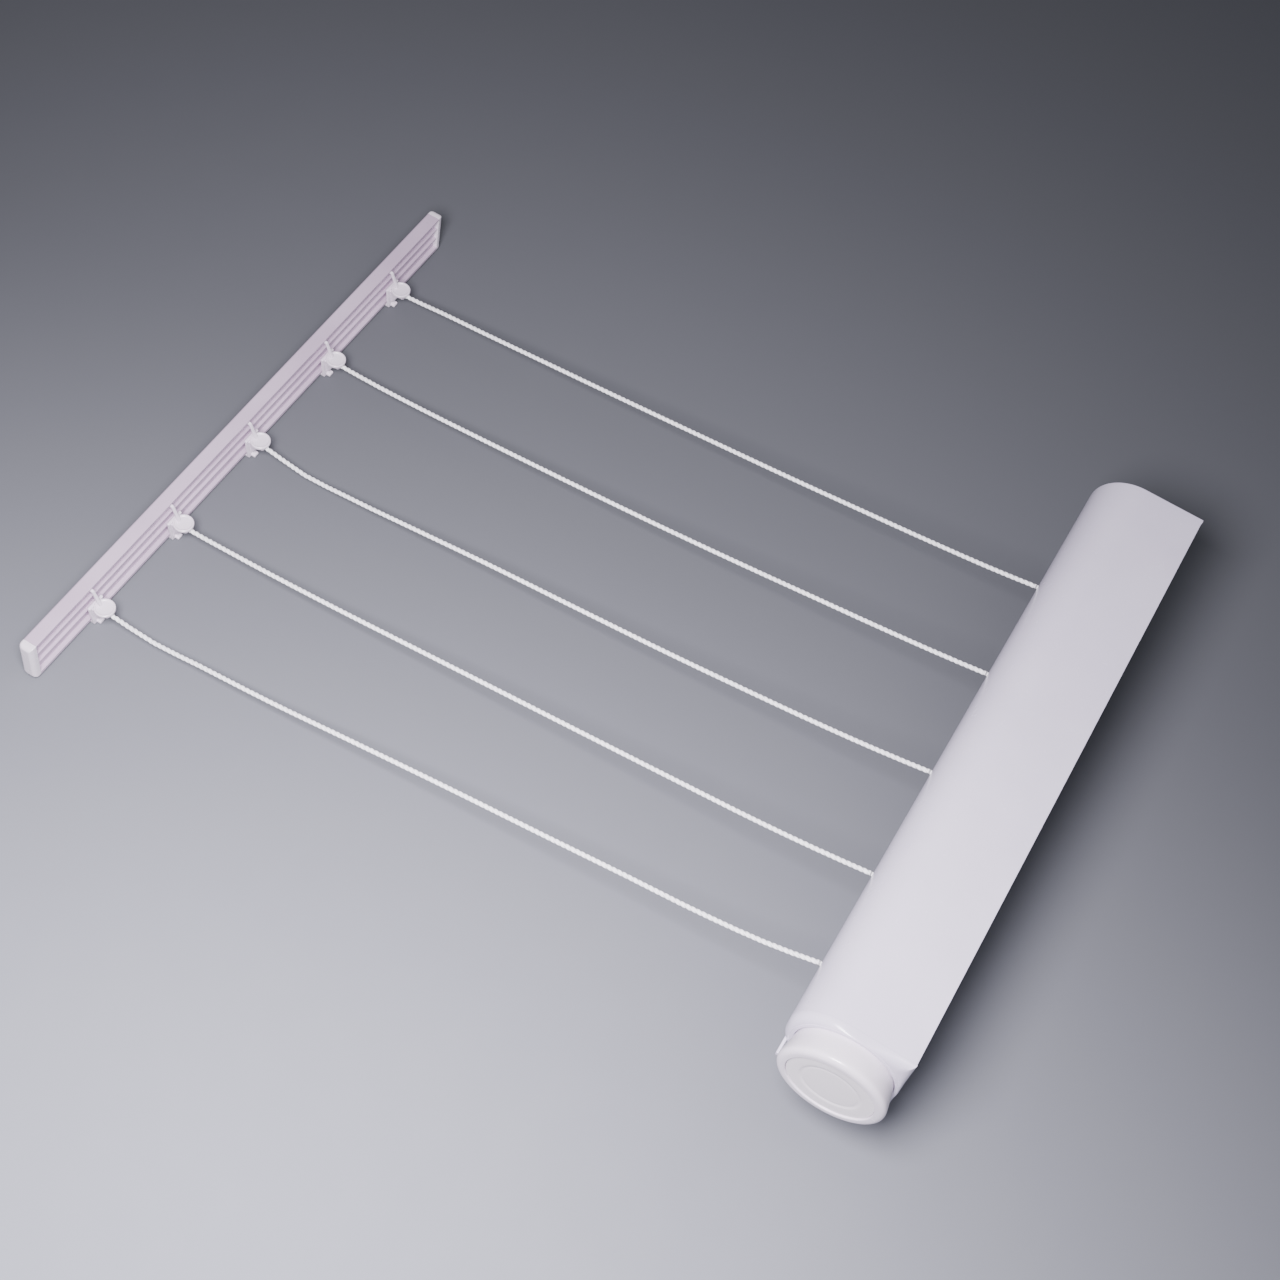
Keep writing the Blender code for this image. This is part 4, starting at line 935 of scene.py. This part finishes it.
def make_bar_caps(looks):
    """Rounded end caps with a plug in the bar's hollow."""
    low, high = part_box("line_bar")
    for name, inner, sign in (("far", low.x, -1), ("near", high.x, 1)):
        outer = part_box("bar_cap_" + name)[0 if sign < 0 else 1].x
        seat = inner + sign * GAP
        rings = [plug_ring(inner - sign * CAP_PLUG), plug_ring(seat)]
        rings.append(cap_ring(seat, CAP_CHAMFER, BAR_EDGE, CAP_BACK_EDGES[0]))
        rings.append(cap_ring(seat + sign * CAP_CHAMFER, 0, BAR_EDGE, CAP_BACK_EDGES[1]))
        for step in range(CAP_STEPS + 1):
            turn = math.pi / 2 * step / CAP_STEPS
            inset = CAP_INSET * (1 - math.cos(turn))
            x = outer - sign * CAP_ROUNDING * (1 - math.sin(turn))
            extra = inset * CAP_EDGE_GROWTH
            rings.append(cap_ring(x, inset, BAR_EDGE + extra, CAP_BACK_EDGES[1] + extra))
        piece("cap_" + name, loft("cap", rings), "bar", looks["cap"],
              ["bar_cap_" + name])


def hook_box(half, y0, y1, z0, z1, edge):
    return rounded_box("hook_box", (-half, y0, z0), (half, y1, z1), edge)


def softened(mesh, edge, segments=3):
    """Mesh with all its sharp edges rounded."""
    work = bmesh.new()
    work.from_mesh(mesh)
    sharp = [line for line in work.edges if line.calc_face_angle(0) > 0.3]
    bmesh.ops.bevel(work, geom=sharp, offset=edge, segments=segments, profile=0.5, affect="EDGES")
    work.to_mesh(mesh)
    work.free()
    return mesh


def hook_taper(ends, edge):
    """Block between two level rectangles, each given as half width, y, y and z."""
    rings = []
    for half, y0, y1, z in ends:
        rings.append([(-half, y0, z), (half, y0, z), (half, y1, z), (-half, y1, z)])
    return softened(loft("hook_taper", rings), edge)


def hook_mesh():
    """One hook about its own place: y from the bar's face to the wall, z from the bar's middle."""
    bottom = -BAR_HALF_HEIGHT - GAP - HOOK_FOOT
    foot_top = bottom + HOOK_FOOT
    radius = HOOK_DISC_RADIUS
    rim = [(0, 0.0009), (radius - 0.0017, 0.0009), (radius - 0.0012, 0.0011),
           (radius - 0.0009, 0.0014), (radius - 0.0004, 0.0015), (radius - 0.0001, 0.0013),
           (radius, 0.0010), (radius, 0.0001), (radius - 0.0002, -0.0003),
           (radius - 0.0006, -0.0005), (0, -0.0005)]
    shelf = shifted(turned("shelf", rim, 64, "Z", closed=False), (0, HOOK_DISC_Y, 0))
    outer = HOOK_BOSS_RADIUS
    boss = [(0, 0.0095), (outer - 0.0002, 0.0095), (outer, 0.0092), (outer, 0.0004),
            (outer - 0.0003, 0), (HOOK_SOCKET_RADIUS + 0.00025, 0), (HOOK_SOCKET_RADIUS, 0.0003),
            (HOOK_SOCKET_RADIUS, HOOK_SOCKET), (0, HOOK_SOCKET)]
    boss = shifted(turned("boss", boss, 40, "Y", closed=False), (0, HOOK_BOSS_END, HOOK_BOSS_Z))
    plate = hook_taper((HOOK_PLATE_TOP, (*HOOK_PLATE_BOTTOM, bottom)), 0.0005)
    gusset = hook_taper((HOOK_GUSSET_TOP, HOOK_GUSSET_BOTTOM), 0.0006)
    strut = [[(side, y, z) for y, z in HOOK_STRUT] for side in (-HOOK_STRUT_HALF, HOOK_STRUT_HALF)]
    foot = hook_box(HOOK_FOOT_HALF, *HOOK_FOOT_Y, bottom, foot_top, 0.0004)
    tongue = hook_box(HOOK_TONGUE_HALF, *HOOK_TONGUE_Y, bottom + GAP, foot_top + GAP, 0.0005)
    strut = softened(loft("strut", strut), 0.00025, 2)
    others = (foot, tongue, gusset, shelf, boss, strut)
    return combined("hook", plate, [("UNION", other) for other in others])


def make_hooks(looks):
    mesh = hook_mesh()
    for index, x in enumerate(HOOK_X):
        piece(f"hook_{index + 1}", mesh, "bar", looks["hook"],
              [f"line_hook_{index + 1}"], place=(x, bar_face_y(), bar_z()))


# ---- carried-over nodes ----------------------------------------------------------------
def finish_nodes(looks):
    """Procedural materials on the CAD nodes that are still shown."""
    chosen = {"axle": "steel", "axle_clip": "spring", "bolt_spring": "spring", "lock_bolt": "steel",
              "mainspring": "spring", "reel_bush": "reel", "reel_drum": "reel",
              "spring_arbor": "reel", "spring_cup": "reel", "spring_cup_lid": "reel"}
    for index in range(len(EXIT_X)):
        chosen[f"line_winding_{index + 1}"] = "wound"
    for name, look in chosen.items():
        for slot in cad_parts[name].material_slots:
            slot.material = looks[look]


# ---- stage and light -------------------------------------------------------------------
def make_stage():
    """Matt floor just under the object, with painted light: paler towards +X and darker towards -X,
    a painted falloff of the light.
    """
    work = bmesh.new()
    bmesh.ops.create_grid(work, x_segments=2, y_segments=2, size=FLOOR_SIZE)
    mesh = bpy.data.meshes.new("floor")
    work.to_mesh(mesh)
    work.free()
    nodes = Nodes("floor_painted_falloff")
    vector = nodes.coordinates((1, 1, 1))
    tilt = nodes.add("ShaderNodeMapping", Rotation=FLOOR_TURN, Location=FLOOR_SHIFT,
                     Scale=FLOOR_STRETCH)
    nodes.link(vector, tilt.inputs["Vector"])
    # Painted light: a gradient across the floor from its shaded end to its lit end.
    shade = nodes.add("ShaderNodeTexGradient", gradient_type="EASING")
    nodes.link(tilt.outputs["Vector"], shade.inputs["Vector"])
    nodes.ramp(shade.outputs["Fac"], ((0.0, FLOOR_SHADED_END), (1.0, FLOOR_LIT_END)))
    nodes.roughness(nodes.noise(vector, 40), 0.75, 0.85)
    nodes.bump(((nodes.noise(vector, 900, 2), 0.00001),))
    mesh.materials.append(nodes.material)
    floor = solid("floor", mesh)
    floor.location = (*FLOOR_PLACE, CAD_BOX[0].z - FLOOR_DROP)


def area_light(name, place, target, size, power, colour, spread):
    data = bpy.data.lights.new(name, "AREA")
    data.shape = "DISK"
    data.size = size
    data.energy = power
    data.color = colour
    data.spread = math.radians(spread)
    light = bpy.data.objects.new(name, data)
    bpy.context.scene.collection.objects.link(light)
    light.location = place
    light.rotation_mode = "QUATERNION"
    light.rotation_quaternion = (Vector(target) - Vector(place)).to_track_quat("-Z", "Y")


def make_lights():
    area_light("key", **KEY_LIGHT)
    area_light("fill", **FILL_LIGHT)
    world = bpy.data.worlds.new("world")
    bpy.context.scene.world = world
    world.use_nodes = True
    background = world.node_tree.nodes["Background"]
    background.inputs["Color"].default_value = WORLD_COLOUR
    background.inputs["Strength"].default_value = WORLD_STRENGTH


make_camera()
LOOKS = make_materials()
make_lines(LOOKS)
make_cover(LOOKS)
make_far_cap(LOOKS)
make_collar(LOOKS)
make_eyelets(LOOKS)
make_back(LOOKS)
make_screws(LOOKS)
make_knob(LOOKS)
make_bar(LOOKS)
make_bar_caps(LOOKS)
make_hooks(LOOKS)
finish_nodes(LOOKS)
make_stage()
make_lights()
